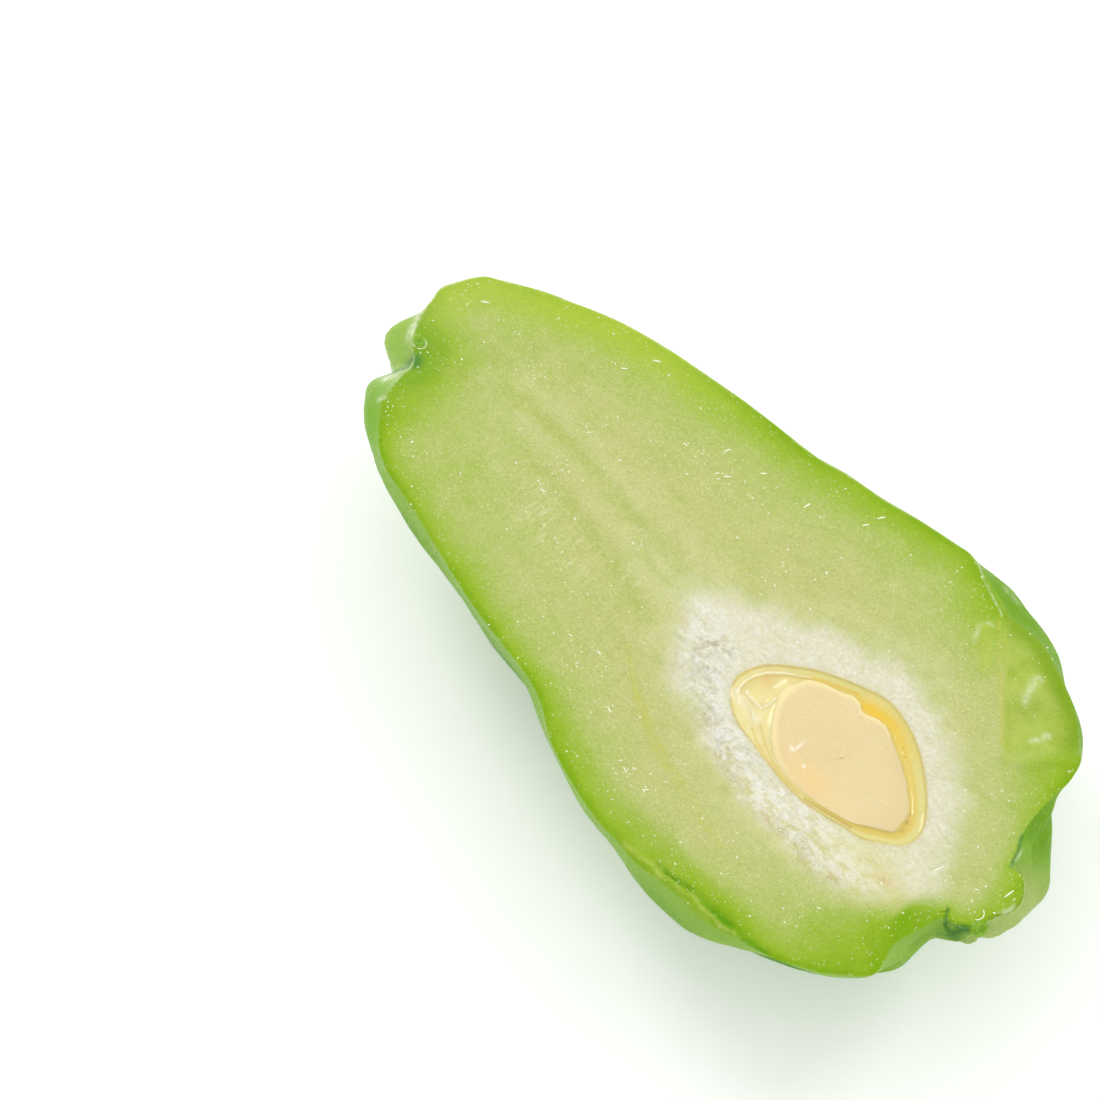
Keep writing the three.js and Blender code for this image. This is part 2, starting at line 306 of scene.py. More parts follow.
def lumps(points, size, salt=0):
    """Smooth noise from -1 to 1 at every point. size is the lumps' size, one for all axes or one each."""
    scaled = points / np.asarray(size, dtype=float) + salt * 17.3
    cell = np.floor(scaled).astype(np.int64)
    part = scaled - cell
    ease = part**3 * (part * (part * 6 - 15) + 10)
    total = np.zeros(len(points))
    for corner in np.ndindex(2, 2, 2):
        weight = np.prod(np.where(corner, ease, 1 - ease), axis=1)
        total += weight * scatter(*(cell + np.array(corner)).T, salt)
    return total * 2 - 1


def dots(points, size, salt):
    """Distance to the nearest of scattered middles, in cells of a size."""
    scaled = points / size
    cell = np.floor(scaled).astype(np.int64)
    nearest = np.full(len(points), 9.0)
    for offset in np.ndindex(3, 3, 3):
        there = cell + np.array(offset) - 1
        middle = there + np.column_stack([scatter(*there.T, salt + axis) for axis in range(3)])
        nearest = np.minimum(nearest, np.linalg.norm(scaled - middle, axis=1))
    return nearest


def on_path(points, path, width):
    """1 on a path of straight stretches on the cut face, fading over its half width."""
    nearest = np.full(len(points), 1e9)
    for start, end in zip(path[:-1], path[1:]):
        start, end = np.array(start), np.array(end)
        line = end - start
        share = held((points[:, :2] - start) @ line / (line @ line))
        gap = np.linalg.norm(points[:, :2] - (start + share[:, None] * line), axis=1)
        nearest = np.minimum(nearest, gap)
    return bump(nearest, width)


def on_paths(points, paths):
    """The same for several, each one a path and its half width. The nearest counts."""
    total = np.zeros(len(points))
    for path, width in paths:
        total = np.maximum(total, on_path(points, path, width))
    return total


def curve_through(rows, share):
    """A smooth curve through the rows, for every share of the way from the first to the last."""
    rows = np.array(rows, dtype=float)
    spans = len(rows) - 1
    padded = np.vstack([2 * rows[0] - rows[1], rows, 2 * rows[-1] - rows[-2]])
    place = np.clip(share * spans, 0, spans - 1e-9)
    first = place.astype(int)
    t = (place - first)[:, None]
    a, b, c, d = (padded[first + i] for i in range(4))
    return 0.5 * (2 * b + (c - a) * t + (2 * a - 5 * b + 4 * c - d) * t**2 + (3 * b - a - 3 * c + d) * t**3)


class Outline:
    """A closed outline about a middle that sees all of it."""

    def __init__(self, edge, middle):
        self.middle = np.array(middle)
        whole = [edge[-1], *edge, edge[0], edge[1]]
        share = np.arange(1, len(edge) + 1, 0.125) / (len(whole) - 1)
        away = curve_through(whole, share) - self.middle
        bearing = np.arctan2(away[:, 1], away[:, 0])
        order = np.argsort(bearing)
        self.bearing, self.reach = bearing[order], np.linalg.norm(away, axis=1)[order]

    def radius(self, bearing):
        return np.interp(bearing, self.bearing, self.reach, period=2 * math.pi)

    def place(self, bearing, share):
        """Points at a share of the way from the middle to the outline."""
        reach = self.radius(bearing) * share
        return self.middle + np.column_stack([np.cos(bearing) * reach, np.sin(bearing) * reach])

    def bearing_of(self, points):
        return polar(points[:, :2] - self.middle)[0]

    def ratio(self, points):
        """0 in the middle, 1 on the outline, more outside it."""
        return np.linalg.norm(points[:, :2] - self.middle, axis=1) / self.radius(self.bearing_of(points))


HOLLOW = Outline(HOLLOW_EDGE, LEAF_MIDDLE)
LEAF = Outline(LEAF_EDGE, LEAF_MIDDLE)
CORE = Outline(CORE_EDGE, CORE_MIDDLE)


# ---------------------------------------------------------------- the fruit's form

CHANNELS = np.array([(*middle, *right, *left, *rest) for middle, right, left, *rest in SECTIONS])
FINE_ALONG = np.linspace(0, 1, 1500)


def through_sections(along, across):
    """Each section's row, and the way on the cut face from its middle to a share across it."""
    row = curve_through(CHANNELS, along)
    middle, right, left = row[:, 0:2], row[:, 2:4], row[:, 4:6]
    across = across[:, None]
    return row, (right - left) / 2 * across + ((right + left) / 2 - middle) * across**2


def even_rows(share):
    """Spreads the rings along the fruit's sides, closer together from the seed to the blossom end."""
    fine = np.linspace(0, 1, 800)
    steps = np.linalg.norm(np.diff(curve_through(CHANNELS, fine)[:, :6], axis=0), axis=1)
    steps *= 0.6 + 0.4 * step(0.4, 0.5, fine[1:]) + 0.3 * step(0.2, 0.1, fine[1:])
    reach = np.concatenate([[0], np.cumsum(steps)])
    return np.interp(share, reach / reach[-1], fine)


def furrow_pull(along, turn):
    pull = np.zeros(len(along))
    for centre, depth, width, start, full in FURROWS:
        pull += depth * step(start, full, along) * bump(np.degrees(turn) - centre, width)
    return pull


def folded(points):
    moved = points.copy()
    for at, reach, shift in FOLDS:
        moved[:, :2] += spot(points, at, reach)[:, None] * np.array(shift)
    return moved


def plain_skin(along, turn):
    """Points of the skin below the cut before its edge is fitted."""
    down = np.sin(turn)
    row, flat = through_sections(along, np.cos(turn))
    depth, lean = row[:, 6], row[:, 7]
    radial = np.column_stack([flat[:, 0] + lean * down**2, flat[:, 1], depth * down])
    radial *= (1 - furrow_pull(along, turn))[:, None]
    return folded(level(row[:, 0:2]) + radial)


def arc_share(path):
    reach = np.concatenate([[0], np.cumsum(np.linalg.norm(np.diff(path, axis=0), axis=1))])
    return reach / reach[-1]


def edge_shift(turn, edge):
    """How far the plain form's edge has to move to lie on the knife's edge, for FINE_ALONG."""
    rim = plain_skin(FINE_ALONG, np.full(len(FINE_ALONG), turn))[:, :2]
    edge = curve_through(edge, FINE_ALONG)
    share, known = arc_share(rim), arc_share(edge)
    return np.column_stack([np.interp(share, known, edge[:, axis]) for axis in (0, 1)]) - rim


RIGHT_SHIFT = edge_shift(0, RIGHT_EDGE)
LEFT_SHIFT = edge_shift(-math.pi, LEFT_EDGE)


def fit_edge(points, along, near, side):
    """Moves points with the edges. side runs from 1 by the right edge to -1 by the left one."""
    for shift, share in ((RIGHT_SHIFT, 0.5 + 0.5 * side), (LEFT_SHIFT, 0.5 - 0.5 * side)):
        moved = np.column_stack([np.interp(along, FINE_ALONG, shift[:, axis]) for axis in (0, 1)])
        points[:, :2] += moved * (near * share)[:, None]
    return points


def cleft_place(points):
    """How far out from the cleft's line and how far down along it, in millimetres."""
    away = points[:, :2] - np.array(CLEFT_MIDDLE)
    return away @ np.array(CLEFT_OUT), away @ np.array((CLEFT_OUT[1], -CLEFT_OUT[0]))


def sagged(points):
    """Lets the cut and the skin under it down into the cleft."""
    out, down = cleft_place(points)
    sag = CLEFT_SAG * (0.3 * step(-0.3, 2.4, out) + 0.7 * step(1, 11, out))
    sag *= step(-24, -13, down) * step(15.5 - 0.15 * out, 7, down)
    points[:, 2] -= sag * np.exp(-((points[:, 2] / 13) ** 2))
    return points


def skin_points(along, turn):
    points = plain_skin(along, turn)
    return fit_edge(points, along, bump(points[:, 2], EDGE_REACH_DOWN), np.cos(turn))


def face_points(along, across):
    """Points of the cut face. across runs from 1 on the right edge to -1 on the left."""
    row, flat = through_sections(along, across)
    edge = np.where(across > 0, 0, -math.pi)
    flat *= (1 - furrow_pull(along, edge) * across**2)[:, None]
    points = folded(level(row[:, 0:2] + flat))
    inside = (1 - np.abs(across)) * np.linalg.norm(row[:, 2:4] - row[:, 4:6], axis=1) / 2
    near = np.exp(-((inside / EDGE_REACH_IN) ** 1.5))
    return fit_edge(points, along, near, np.clip(across / 0.25, -1, 1))


# ---------------------------------------------------------------- what shows on the cut face

# Strands that run through the flesh: a path on the cut face and its half width.
PALE_STRANDS = [
    ([(12, 7), (29, 7.2), (46, 6.6), (60, 4.3), (78, 0)], 2.6),
    ([(18, 13), (28, 13.4), (45, 13.2), (67, 13), (80, 10)], 2.2),
    ([(86, 21), (94, 26), (107, 29.5), (118, 29)], 1.2),
    ([(50, 10.5), (62, 8), (74, 4.5), (82, 2)], 4.2),
]
GREEN_STRANDS = [
    ([(6, 4), (22, 10.3), (34, 10.6), (46, 9.4), (58, 9.4), (72, 8)], 2),
    ([(30, 3), (41, 2.6), (52, 0.8), (70, -3)], 1.9),
]
VEINS = [
    ([(72, -9.4), (76, -12), (81.2, -15.4), (90.8, -19.5), (99.7, -21.4), (106.3, -22.7),
      (112.3, -23.2)], 0.45),
    ([(80.6, -14.2), (90.4, -18.3), (99.4, -20.2), (106, -21.4)], 0.3),
    ([(112.4, 45.1), (116.7, 41.1), (121.1, 36.9), (125.6, 32.8), (130.7, 28)], 0.35),
    ([(114.3, 44.9), (118.7, 40.7), (123, 36.3), (127.4, 32.2), (131.2, 28.6)], 0.28),
]
RIM_GROOVE = [
    ([(107.9, -34.1), (110.5, -33.9), (112.9, -33.4), (115, -32.8), (117.2, -32.5), (121.4, -32.7)], 0.5),
    ([(117.2, -32.5), (121.4, -32.7), (125.8, -32), (130.2, -31.9), (132.6, -31.2)], 0.8),
]
# A thin pale ridge between the groove and the skin. Its pale colour is partly its own and partly a painted
# highlight along its crest.
RIM_RIDGE = [
    ([(101.1, -35.8), (104.6, -35.5), (107.4, -34.7), (109.7, -35.2), (112, -34.1), (113.8, -34.2),
      (116.4, -33.2), (118.8, -33.8), (121.2, -33.4), (123.7, -33.5), (126.2, -32.6), (128.6, -32.9)], 0.4),
]
# Deep folds at the two ends, drawn only as painted shade: a dark green laid along these paths, with no dip
# in the form.
CREASES = [
    ([(-4.4, -4.6), (-2.6, -2.7), (-0.6, -0.8)], 0.7),
    ([(-1.2, 0.4), (-0.1, 1), (0.7, 0.2)], 1.2),
    ([(147.4, -1.2), (147.8, -1.9), (148.5, -2.9), (149.3, -3.1), (150.3, -2.8), (151.3, -2),
      (152.4, -1)], 0.3),
    ([(149.2, -4.6), (150, -3.6), (150.8, -2.7), (151.8, -1.4)], 0.6),
    ([(145.7, 18.4), (146.4, 17.2), (147.5, 15.6), (148.3, 13.6), (148.8, 12.7)], 0.3),
]
# Soft pools of deeper green: middle and reach.
GREEN_POOLS = [
    ((120, 49), (8, 2.6), 0.5),
    ((131, 46), (8, 2.8), 0.7),
    ((140, 38.5), (4, 4), 0.5),
    ((-1.5, 3), (7.5, 7), 0.8),
    ((3, -9), (7, 8), 0.5),
    ((8, 2), (26, 17), 0.3),
    ((30, -10), (24, 8), 0.16),
    ((144, -20.5), (19, 10), 0.6),
    ((146, -9.5), (5, 6.5), 0.85),
    ((145.2, -5.6), (2.6, 4), 0.7),
    ((147.6, -2.6), (1.6, 1.6), 0.5),
    ((151.5, 9), (3, 7), 0.5),
    ((118, -31.5), (16, 3.4), 0.7),
    ((84, -32), (18, 3), 0.3),
    ((145, 24), (5, 9), 0.2),
    ((140, 30), (5, 6), 0.25),
]
PALE_POOLS = [
    ((95, 30), (22, 8), 0.5),
    ((60, 6), (24, 11), 0.45),
    ((141, 15), (9, 11), 1),
    ((128, 24), (9, 7), 0.4),
    ((146, 4), (5, 7), 0.7),
    ((116, -26), (16, 4), 0.2),
    ((92, -18), (20, 5), 0.35),
]
OVAL = [([(111.9, 41.6), (114.4, 39.6), (117.4, 36.4)], 1.7)]
TAN_CRUMBS = [((x, y), (1.6, 1), 0.9) for x, y in (
    (77.7, -3.3), (80.8, -5.4), (99.6, -11.9), (104.6, -13.2), (113.8, -13.5), (117.1, -13.7),
    (122.4, -13.7), (124.5, -14.6), (136.4, -6.1), (92.4, -9.8), (74.6, 1.6), (130, -12.6))]
CLEFT_LIP = [([(132.4, 26.6), (134.3, 27), (136.3, 28.2), (137.4, 30.3), (138.5, 32.2), (140.6, 34.1),
               (142.6, 35.4)], 0.8)]
# The masks that these paths are written to.
DRAWN = {
    "pale_strand": PALE_STRANDS, "green_strand": GREEN_STRANDS, "vein": VEINS, "oval": OVAL,
    "lip": CLEFT_LIP, "groove": RIM_GROOVE, "ridge": RIM_RIDGE,
}
# Painted highlights: a pale colour laid along paths where the wet surface and the skin gleam. Each one is a
# path and its half width.
GLEAMS = [
    ([(126.6, 38), (125.7, 39.6), (124.9, 42), (124.7, 43.6)], 0.85),
    ([(133.4, 33.6), (133.8, 35.3), (133.9, 36.8)], 0.8),
    ([(99.6, 51.2), (102, 50.3), (104.5, 49), (108.4, 47.6), (111.8, 46.4)], 0.2),
    ([(154.2, 5.6), (154.7, 6.6), (154.6, 7.8)], 0.45),
    ([(148.5, 14.1), (148, 15.6), (147.5, 16.9)], 0.2),
    ([(138.9, -1.4), (140.3, 0.2), (141.1, 2), (141.4, 4.2)], 0.42),
    ([(99.6, 52.4), (104, 53.4)], 0.6),
    ([(107.5, 52.4), (113, 52.9), (117, 52.4)], 0.7),
    ([(112.4, 39), (111.3, 40.3), (110.9, 41.6), (111.2, 42.9), (112, 43.6)], 0.5),
    ([(-8.3, 9.1), (-6.9, 6.4), (-5.3, 3.4)], 0.7),
    ([(-2, -5.4), (-1.6, -4.4), (-1.2, -3.2), (-0.8, -2.1)], 1),
    ([(1.5, -9.6), (2.3, -9.1)], 0.6),
]
# Small swellings and dips of the face: middle, reach and height.
SWELLINGS = [
    ((125.6, 39.8), (2, 4.5), 0.9),
    ((133.8, 36), (2.6, 3.4), 0.8),
    ((129.6, 37.6), (1.9, 3.6), -0.9),
    ((121.6, 42), (1.8, 3), -0.5),
    ((139.5, 1.5), (1, 4), 0.35),
    ((83.5, 11), (4, 0.8), 0.3),
]
# Soft pale feathering of the flesh round the middle, and the pits of the torn white.
FEATHERS = [
    ((44, -3), (16, 5), 1), ((58, 12), (16, 4), 0.8), ((30, 2), (10, 5), 0.5), ((66, -2), (14, 6), 0.7),
]
PITS = [(82, 0.6), (85, -1.6), (87.4, -4.2), (91.6, -7.6), (83.6, 3.4), (80.6, 2.6), (98.6, -10)]


def crumbly(points):
    """1 where the white middle is coarse and torn, on the stem side and below the seed."""
    inside = step(1.06, 0.9, CORE.ratio(points)) * step(1, 1.12, HOLLOW.ratio(points))
    line = points[:, 1] + 0.26 * (points[:, 0] - 84)
    return inside * np.clip(step(13, -3, line), 0.2, 1)


def pitted(points):
    """1 where the torn middle has gaps: they dip in the form and get a painted shade."""
    return np.max([spot(points, place, (2.6, 2)) for place in PITS], axis=0)


def skin_relief(points, along, turn):
    """How far the skin stands in or out of the plain form, in millimetres."""
    girth = level(np.column_stack([points[:, 0], np.degrees(turn) * 0.55]))
    swell = 0.8 * lumps(points, 22, 3) + 0.4 * lumps(points, 9, 7)
    wrinkle = lumps(girth, (20, 3.8, 1), 1) * (0.2 + 0.3 * step(0.25, 0.85, along))
    fine = lumps(girth, (6, 1.9, 1), 5) * 0.10
    dimple = -0.2 * bump(dots(points, 3.6, 2), 0.25)
    crease = np.zeros(len(points))
    for centre, _, _, start, full in FURROWS:
        wander = 3 * lumps(girth, (18, 1e6, 1), int(-centre))
        deep = CREASE_DEPTH * step(start + 0.1, full, along)
        crease -= deep * bump(np.degrees(turn) - centre - wander, CREASE_WIDTH)
    return swell + wrinkle + fine + dimple + crease


def face_relief(points):
    """Height of the cut face above the plane of the knife, in millimetres."""
    crumb = 0.9 * (0.35 - np.abs(lumps(points, 2.8, 9))) + 0.5 * (np.abs(lumps(points, 1.5, 4)) - 0.35)
    crumb += 0.5 * lumps(points, 4.6, 21) + 0.25 * (0.35 - np.abs(lumps(points, 0.8, 14)))
    wave = 0.12 * lumps(points, 9, 1) + 0.05 * lumps(points, 2.2, 6)
    drawn = 0.10 * on_paths(points, PALE_STRANDS) - 0.12 * on_paths(points, GREEN_STRANDS)
    broken = 0.6 + 0.4 * lumps(points, 4, 22)
    drawn += 0.12 * on_paths(points, VEINS) - 0.6 * on_paths(points, RIM_GROOVE) * broken
    drawn += 0.15 * on_paths(points, RIM_RIDGE)
    drawn += 0.7 * on_paths(points, OVAL) + 0.45 * on_paths(points, CLEFT_LIP)
    drawn += spots(points, SWELLINGS)
    gaps = step(0.1, 0.6, lumps(points, 1.5, 31) + 0.4 * lumps(points, 0.8, 32))
    return wave + drawn + 0.8 * crumbly(points) * crumb - 0.7 * pitted(points) * gaps


def distance_to_rim(points):
    along, edge = np.linspace(0, 1, RIM_POINTS), np.ones(RIM_POINTS)
    rim = sagged(np.vstack([face_points(along, edge), face_points(along, -edge)]))
    tree = KDTree(len(rim))
    for index, point in enumerate(rim):
        tree.insert(point, index)
    tree.balance()
    return np.array([tree.find(point)[2] for point in points])


def squash_half():
    half = ball("squash_half", AROUND, ALONG)
    unit = points_of(half)
    along = even_rows(np.arccos(np.clip(unit[:, 2], -1, 1)) / math.pi)
    column = np.mod(polar(unit)[0] / (2 * math.pi), 1) * AROUND
    column = np.mod(np.round(column), AROUND)
    on_face = column <= ON_FACE

    share = 1 - 2 * column / ON_FACE
    across = 0.8 * share + 0.2 * np.sin(share * math.pi / 2)
    face = face_points(along, np.clip(across, -1, 1))
    below = (column - ON_FACE) / (AROUND - ON_FACE)
    turn = -math.pi * (1 - (below - 0.55 * np.sin(2 * math.pi * below) / (2 * math.pi)))
    turn = np.where(on_face, 0, turn)
    skin = skin_points(along, turn)
    out = skin - level(curve_through(CHANNELS, along)[:, 0:2])
    out /= np.linalg.norm(out, axis=1)[:, None] + 1e-9
    under = step(0.5, 5, -skin[:, 2]) * step(*FLOOR_FADE, skin[:, 2])
    skin += out * (skin_relief(skin, along, turn) * under)[:, None]
    add_masks(half, skin=~on_face)
    set_points(half, to_frame(sagged(np.where(on_face[:, None], face, skin))))
    outward(half)
    return half


def raise_face(half):
    """Gives the cut face its relief and rounds its edge a little."""
    points = to_fruit(points_of(half))
    skin = np.empty(len(points))
    half.data.attributes["skin"].data.foreach_get("value", skin)
    top = skin < 0.5
    face = points[top]
    rim = distance_to_rim(face)
    rounded = 0.3 * step(0.8, 0, rim) * step(2, 14, face[:, 0])
    face[:, 2] += face_relief(face) * step(0, 1.5, rim) - rounded
    points[top] = face
    set_points(half, to_frame(points))


def cut_hollow(half):
    """Takes the seed's hollow out of the flesh."""
    cutter = ball("hollow_cutter", *HOLLOW_FACES)
    unit = points_of(cutter)
    set_points(cutter, to_frame(np.column_stack([HOLLOW.place(*polar(unit)), unit[:, 2] * HOLLOW_DEPTH])))
    outward(cutter)
    cut = half.modifiers.new("hollow", "BOOLEAN")
    cut.operation = "DIFFERENCE"
    cut.solver = "EXACT"
    cut.object = cutter
    select_only(half)
    bpy.ops.object.modifier_apply(modifier=cut.name)
    bpy.data.objects.remove(cutter)


def mask_half(half):
    """Writes the masks that the skin and flesh finishes read."""
    points = to_fruit(points_of(half))
    x, y, z = points.T
    rim = distance_to_rim(points)
    core = CORE.ratio(points)
    wobble = 0.10 * lumps(points, 7, 4) + 0.07 * lumps(points, 2.4, 8) + 0.02 * lumps(points, 1, 18)
    out, down = cleft_place(points)
    reach = 4.5 + 4 * step(0, 30, y) + 1.4 * lumps(points, 18, 2)
    green = np.exp(-rim / reach)
    green = green + (1 - green) * held(spots(points, GREEN_POOLS))
    green *= 1 - held(spots(points, PALE_POOLS)) * 0.6
    top = step(-4, -2, z)
    low = spot(points, (118, -15), (28, 5.5)) + 1.3 * spot(points, (133, -11), (12, 8))
    add_masks(
        half,
        rim=rim,
        green=green,
        core=step(1.16, 0.8, core + wobble) * top * step(1, 0.6, green),
        halo=step(1.4, 0.95, core + 1.5 * wobble) * top,
        core_low=held(1.3 * low),
        feather=held(spots(points, FEATHERS)) * top,
        torn=crumbly(points),
        tan=spots(points, TAN_CRUMBS),
        pits=pitted(points),
        **{name: on_paths(points, paths) for name, paths in DRAWN.items()},
        # Where highlights are painted on the wet face and on the skin just below the cut.
        gleam=on_paths(points, GLEAMS) * step(-6, -3, z),
        # Painted shade along the deep folds.
        crease=on_paths(points, CREASES) * step(-7, -4, z),
        patch=step(-0.3, 1.2, out) * step(-20, -13, down) * step(17, 11, down + 0.25 * out),
        hollow_wall=step(1.03, 0.99, HOLLOW.ratio(points)) * step(6, 5, -z),
        lit_rim=step(11, 2, rim) * step(6, 17, y) * step(64, 20, x),
        # Where the painted highlight along the rim is strongest, together with the stem.
        top_edge=step(20, 40, y) * step(110, 90, x),
        left_band=step(0, -14, y) * step(12, 1, -z),
        right_band=step(10, 30, y) * step(-18, -5, z),
        stem=held(1.5 * spot(points, (-4, 0, -3), (11, 26, 12))) * step(-13, -5, y),
        stem_side=held(1.4 * spot(points, (3, -12, -4), (8, 6, 9))),
        blossom=held(1.5 * spot(points, (152, 0, -3), (6, 16, 8))),
        right_lobe=held(1.5 * spot(points, (154, 8, -4), (5, 9, 8))),
    )


# ---------------------------------------------------------------- seed coat and seed leaf

# Folds and marks of the jelly: paths first, then soft spots.
ARCH = [(91.6, -0.6), (91.1, 1.8), (91.3, 3.9), (92.3, 6.3), (94.5, 8.7), (96.8, 10.2), (98.4, 11.4)]
FLAP = [(92.6, 0.9), (94.4, 0.7), (95.6, 0.6), (96.8, 0.7), (97.4, 2.2), (97.3, 3.9)]
FLAP_FOLD = [(91.6, -0.8), (93.2, -0.4), (94.8, -0.7), (96.6, -1.2), (98, -2.2)]
LOW_LINES = [
    [(98.6, -1.2), (100.2, -2.2), (101.6, -3), (103.4, -4), (106.1, -5), (109.4, -5.5), (114, -5.8)],
    [(98.4, -3), (100.7, -4.3), (104.5, -5.3), (108.4, -5.9), (112, -6.2)],
]
SECOND_LINE = [(93.3, -2), (92, -0.2), (91.4, 1.6), (91.7, 3.9), (92.9, 6.4), (95.2, 8.9), (98.6, 11.6),
               (102.4, 13.9), (106.6, 15.9)]
# Below the seed leaf: a shallow dip along this path, with painted shadow laid along it.
CREVICE = [(115.4, -5.9), (118.7, -5.1), (121.6, -4.3), (124.8, -3.4)]
POCKETS = [((94.6, 4.8), (2.4, 3), 1), ((92.4, 0.8), (1, 1.3), 0.5), ((96.4, 1.6), (0.8, 0.9), 0.5)]
GOLD = [((110.3, 15), (2.6, 1.3), 1), ((114, 16.3), (5, 1.5), 0.75), ((119.5, 14.6), (4.5, 1.5), 0.35)]
TIP_FLECKS = [
    ((130.6, 4.8), (0.4, 0.5), 1), ((131.2, 3.2), (0.3, 0.6), 0.7), ((120.9, 13.4), (0.2, 0.2), 1),
    ((119.6, 14.4), (0.18, 0.18), 1), ((129.9, 6.4), (0.35, 0.4), 0.7),
]
# Pale scratches on the seed leaf.
LEAF_FLECKS = [
    ((107.2, 0.2), (0.25, 1.3), 0.7), ((106.6, -0.9), (0.5, 0.3), 0.8), ((110.6, -1.6), (0.35, 0.3), 0.8),
]


def seed_jelly():
    """A ring of clear jelly between the hollow and the seed leaf, layered and folded."""
    around, across = JELLY_FACES
    jelly = new_piece("seed_jelly", bpy.ops.mesh.primitive_torus_add, major_segments=around,
                      minor_segments=across, major_radius=1, minor_radius=0.4)
    unit = points_of(jelly)
    bearing, away = polar(unit)
    roll = np.arctan2(unit[:, 2], away - 1)
    top = np.sin(roll) > -1e-6
    share = np.where(top, np.abs(roll) / math.pi, 0.5 - 0.5 * np.cos(roll))
    outer = HOLLOW.radius(bearing) * JELLY_OUT
    inner = LEAF.radius(bearing) * JELLY_IN
    reach = outer + (inner - outer) * share
    points = level(LEAF.middle + np.column_stack([np.cos(bearing), np.sin(bearing)]) * reach[:, None])
    width = outer - inner
    dish = -0.45 * np.sin(held(share) * math.pi) * step(1.2, 4, width)
    folds = [(ARCH, 0.34, 0.2), (FLAP, 0.5, 0.22), (FLAP_FOLD, 0.36, 0.28), (SECOND_LINE, 0.16, 0.2),
             *((line, 0.2, 0.18) for line in LOW_LINES)]
    ridges = sum(height * on_path(points, path, reach) for path, height, reach in folds)
    sunk = -0.9 * spots(points, POCKETS) - 0.15 * on_path(points, CREVICE, 0.3)
    ripple = 0.07 * lumps(points, (1.4, 2.2, 1), 5) * step(2.5, 5, width)
    edges = 0.12 * bump(share * width, 0.35) + 0.12 * bump((0.98 - share) * width, 0.5)
    height = -0.08 + dish + ridges + sunk + ripple + edges
    points[:, 2] = np.where(top, height, -1.6 - JELLY_DEPTH * np.abs(np.sin(roll)))
    set_points(jelly, to_frame(points))
    outward(jelly)

    points = to_fruit(points_of(jelly))
    x, y, _ = points.T
    bearing = LEAF.bearing_of(points)
    outer, inner = HOLLOW.radius(bearing), LEAF.radius(bearing)
    share = (outer - np.linalg.norm(points[:, :2] - LEAF.middle, axis=1)) / (outer - inner)
    width = outer - inner
    right = step(-3, 6, y * 0.6 + (x - 107) * 0.5)
    lines = bump(share * width - 0.1, 0.24) * (1 - 0.4 * right) + 0.7 * on_path(points, SECOND_LINE, 0.2)
    lines += 0.8 * bump((0.99 - share) * width, 0.26) * right
    for line in LOW_LINES:
        lines += 0.75 * on_path(points, line, 0.18)
    milky = on_path(points, ARCH, 0.15) + 1.2 * on_path(points, FLAP, 0.15)
    # Two soft spots of painted highlight in the pocket by the flap.
    milky += 0.5 * spot(points, (93, -1.2), (2.2, 1)) + 0.5 * spot(points, (97.6, -1.6), (1.6, 1))
    add_masks(
        jelly,
        amber=step(0.38, 0.66, share) * right,
        right_band=right,
        gold=held(spots(points, GOLD)),
        line=held(lines),
        milky=held(milky),
        tan=held(spot(points, (93.4, 5.4), (1.2, 1.6))),
        # Painted shadow in the crevice under the seed leaf.
        crevice=on_path(points, CREVICE, 0.26),
        fleck=held(spots(points, TIP_FLECKS)),
        grey_fold=on_path(points, FLAP_FOLD, 0.5),
    )
    return jelly


def seed_leaf():
    """The cut seed leaf: flat where the knife went, rounded over at its edge."""
    leaf = ball("seed_leaf", *LEAF_FACES)
    unit = points_of(leaf)
    bearing, away = polar(unit)
    up = unit[:, 2] > 0
    share = np.where(up, (2 / math.pi) * np.arccos(np.clip(unit[:, 2], -1, 1)), away)
    ragged = 0.012 * lumps(level(np.column_stack([bearing * 9, share])), (0.8, 9, 1), 12)
    ragged *= step(-0.4, 1.6, bearing) * step(0.7, 1, share)
    points = level(LEAF.place(bearing, share * (1 + ragged)))
    soft = step(0.2, -0.9, np.cos(bearing + 0.35))
    rolled = soft * (0.3 - 0.5 * held((share - 0.9) / 0.1) ** 2)
    crown = 0.03 + rolled + 0.07 * lumps(points, 4, 3) + 0.03 * lumps(points, 1.2, 5)
    points[:, 2] = np.where(up, crown, -0.2 + LEAF_DEPTH * unit[:, 2])
    set_points(leaf, to_frame(points))
    outward(leaf)

    points = to_fruit(points_of(leaf))
    ratio = LEAF.ratio(points)
    bearing = LEAF.bearing_of(points)
    add_masks(
        leaf,
        # A paler rim on the rounded left edge: partly the leaf's own pale edge, partly a painted highlight
        # on the roll.
        edge=step(0.86, 0.97, ratio) * step(0.3, -0.6, np.cos(bearing + 0.35)),
        warm=held(spot(points, (113.5, -2.6), (6, 2.4))),
        fleck=held(spots(points, LEAF_FLECKS)),
        right_edge=step(0.6, 0.95, ratio) * step(0.2, 0.9, np.cos(bearing - 0.6)),
    )
    return leaf


# ---------------------------------------------------------------- small parts of the fruit's ends

def nub(name, at, size, lean):
    """A small rounded nub with a dimple in its tip and a ring round it."""
    piece = ball(name, *NUB_FACES)
    unit = points_of(piece)
    out = polar(unit)[1]
    tip = unit[:, 2] > 0
    unit[:, 2] += tip * (0.16 * bump(out - 0.62, 0.2) - 0.4 * bump(out, 0.36))
    turned = unit @ np.array(Matrix.Rotation(math.radians(lean), 3, "Y")).T
    lumpy = turned * (1 + 0.05 * lumps(turned, 0.8, 3))[:, None]
    set_points(piece, to_frame(lumpy * np.array(size) + np.array(at)))
    outward(piece)
    return piece


# ---------------------------------------------------------------- beads of juice, white, standing for painted glints

BEAD_SEED = 20
BEAD_COUNT = 620  # before those that miss the flesh are dropped
BEADS_IN_SPRAY = 9
BEADS_IN_ARC = 7
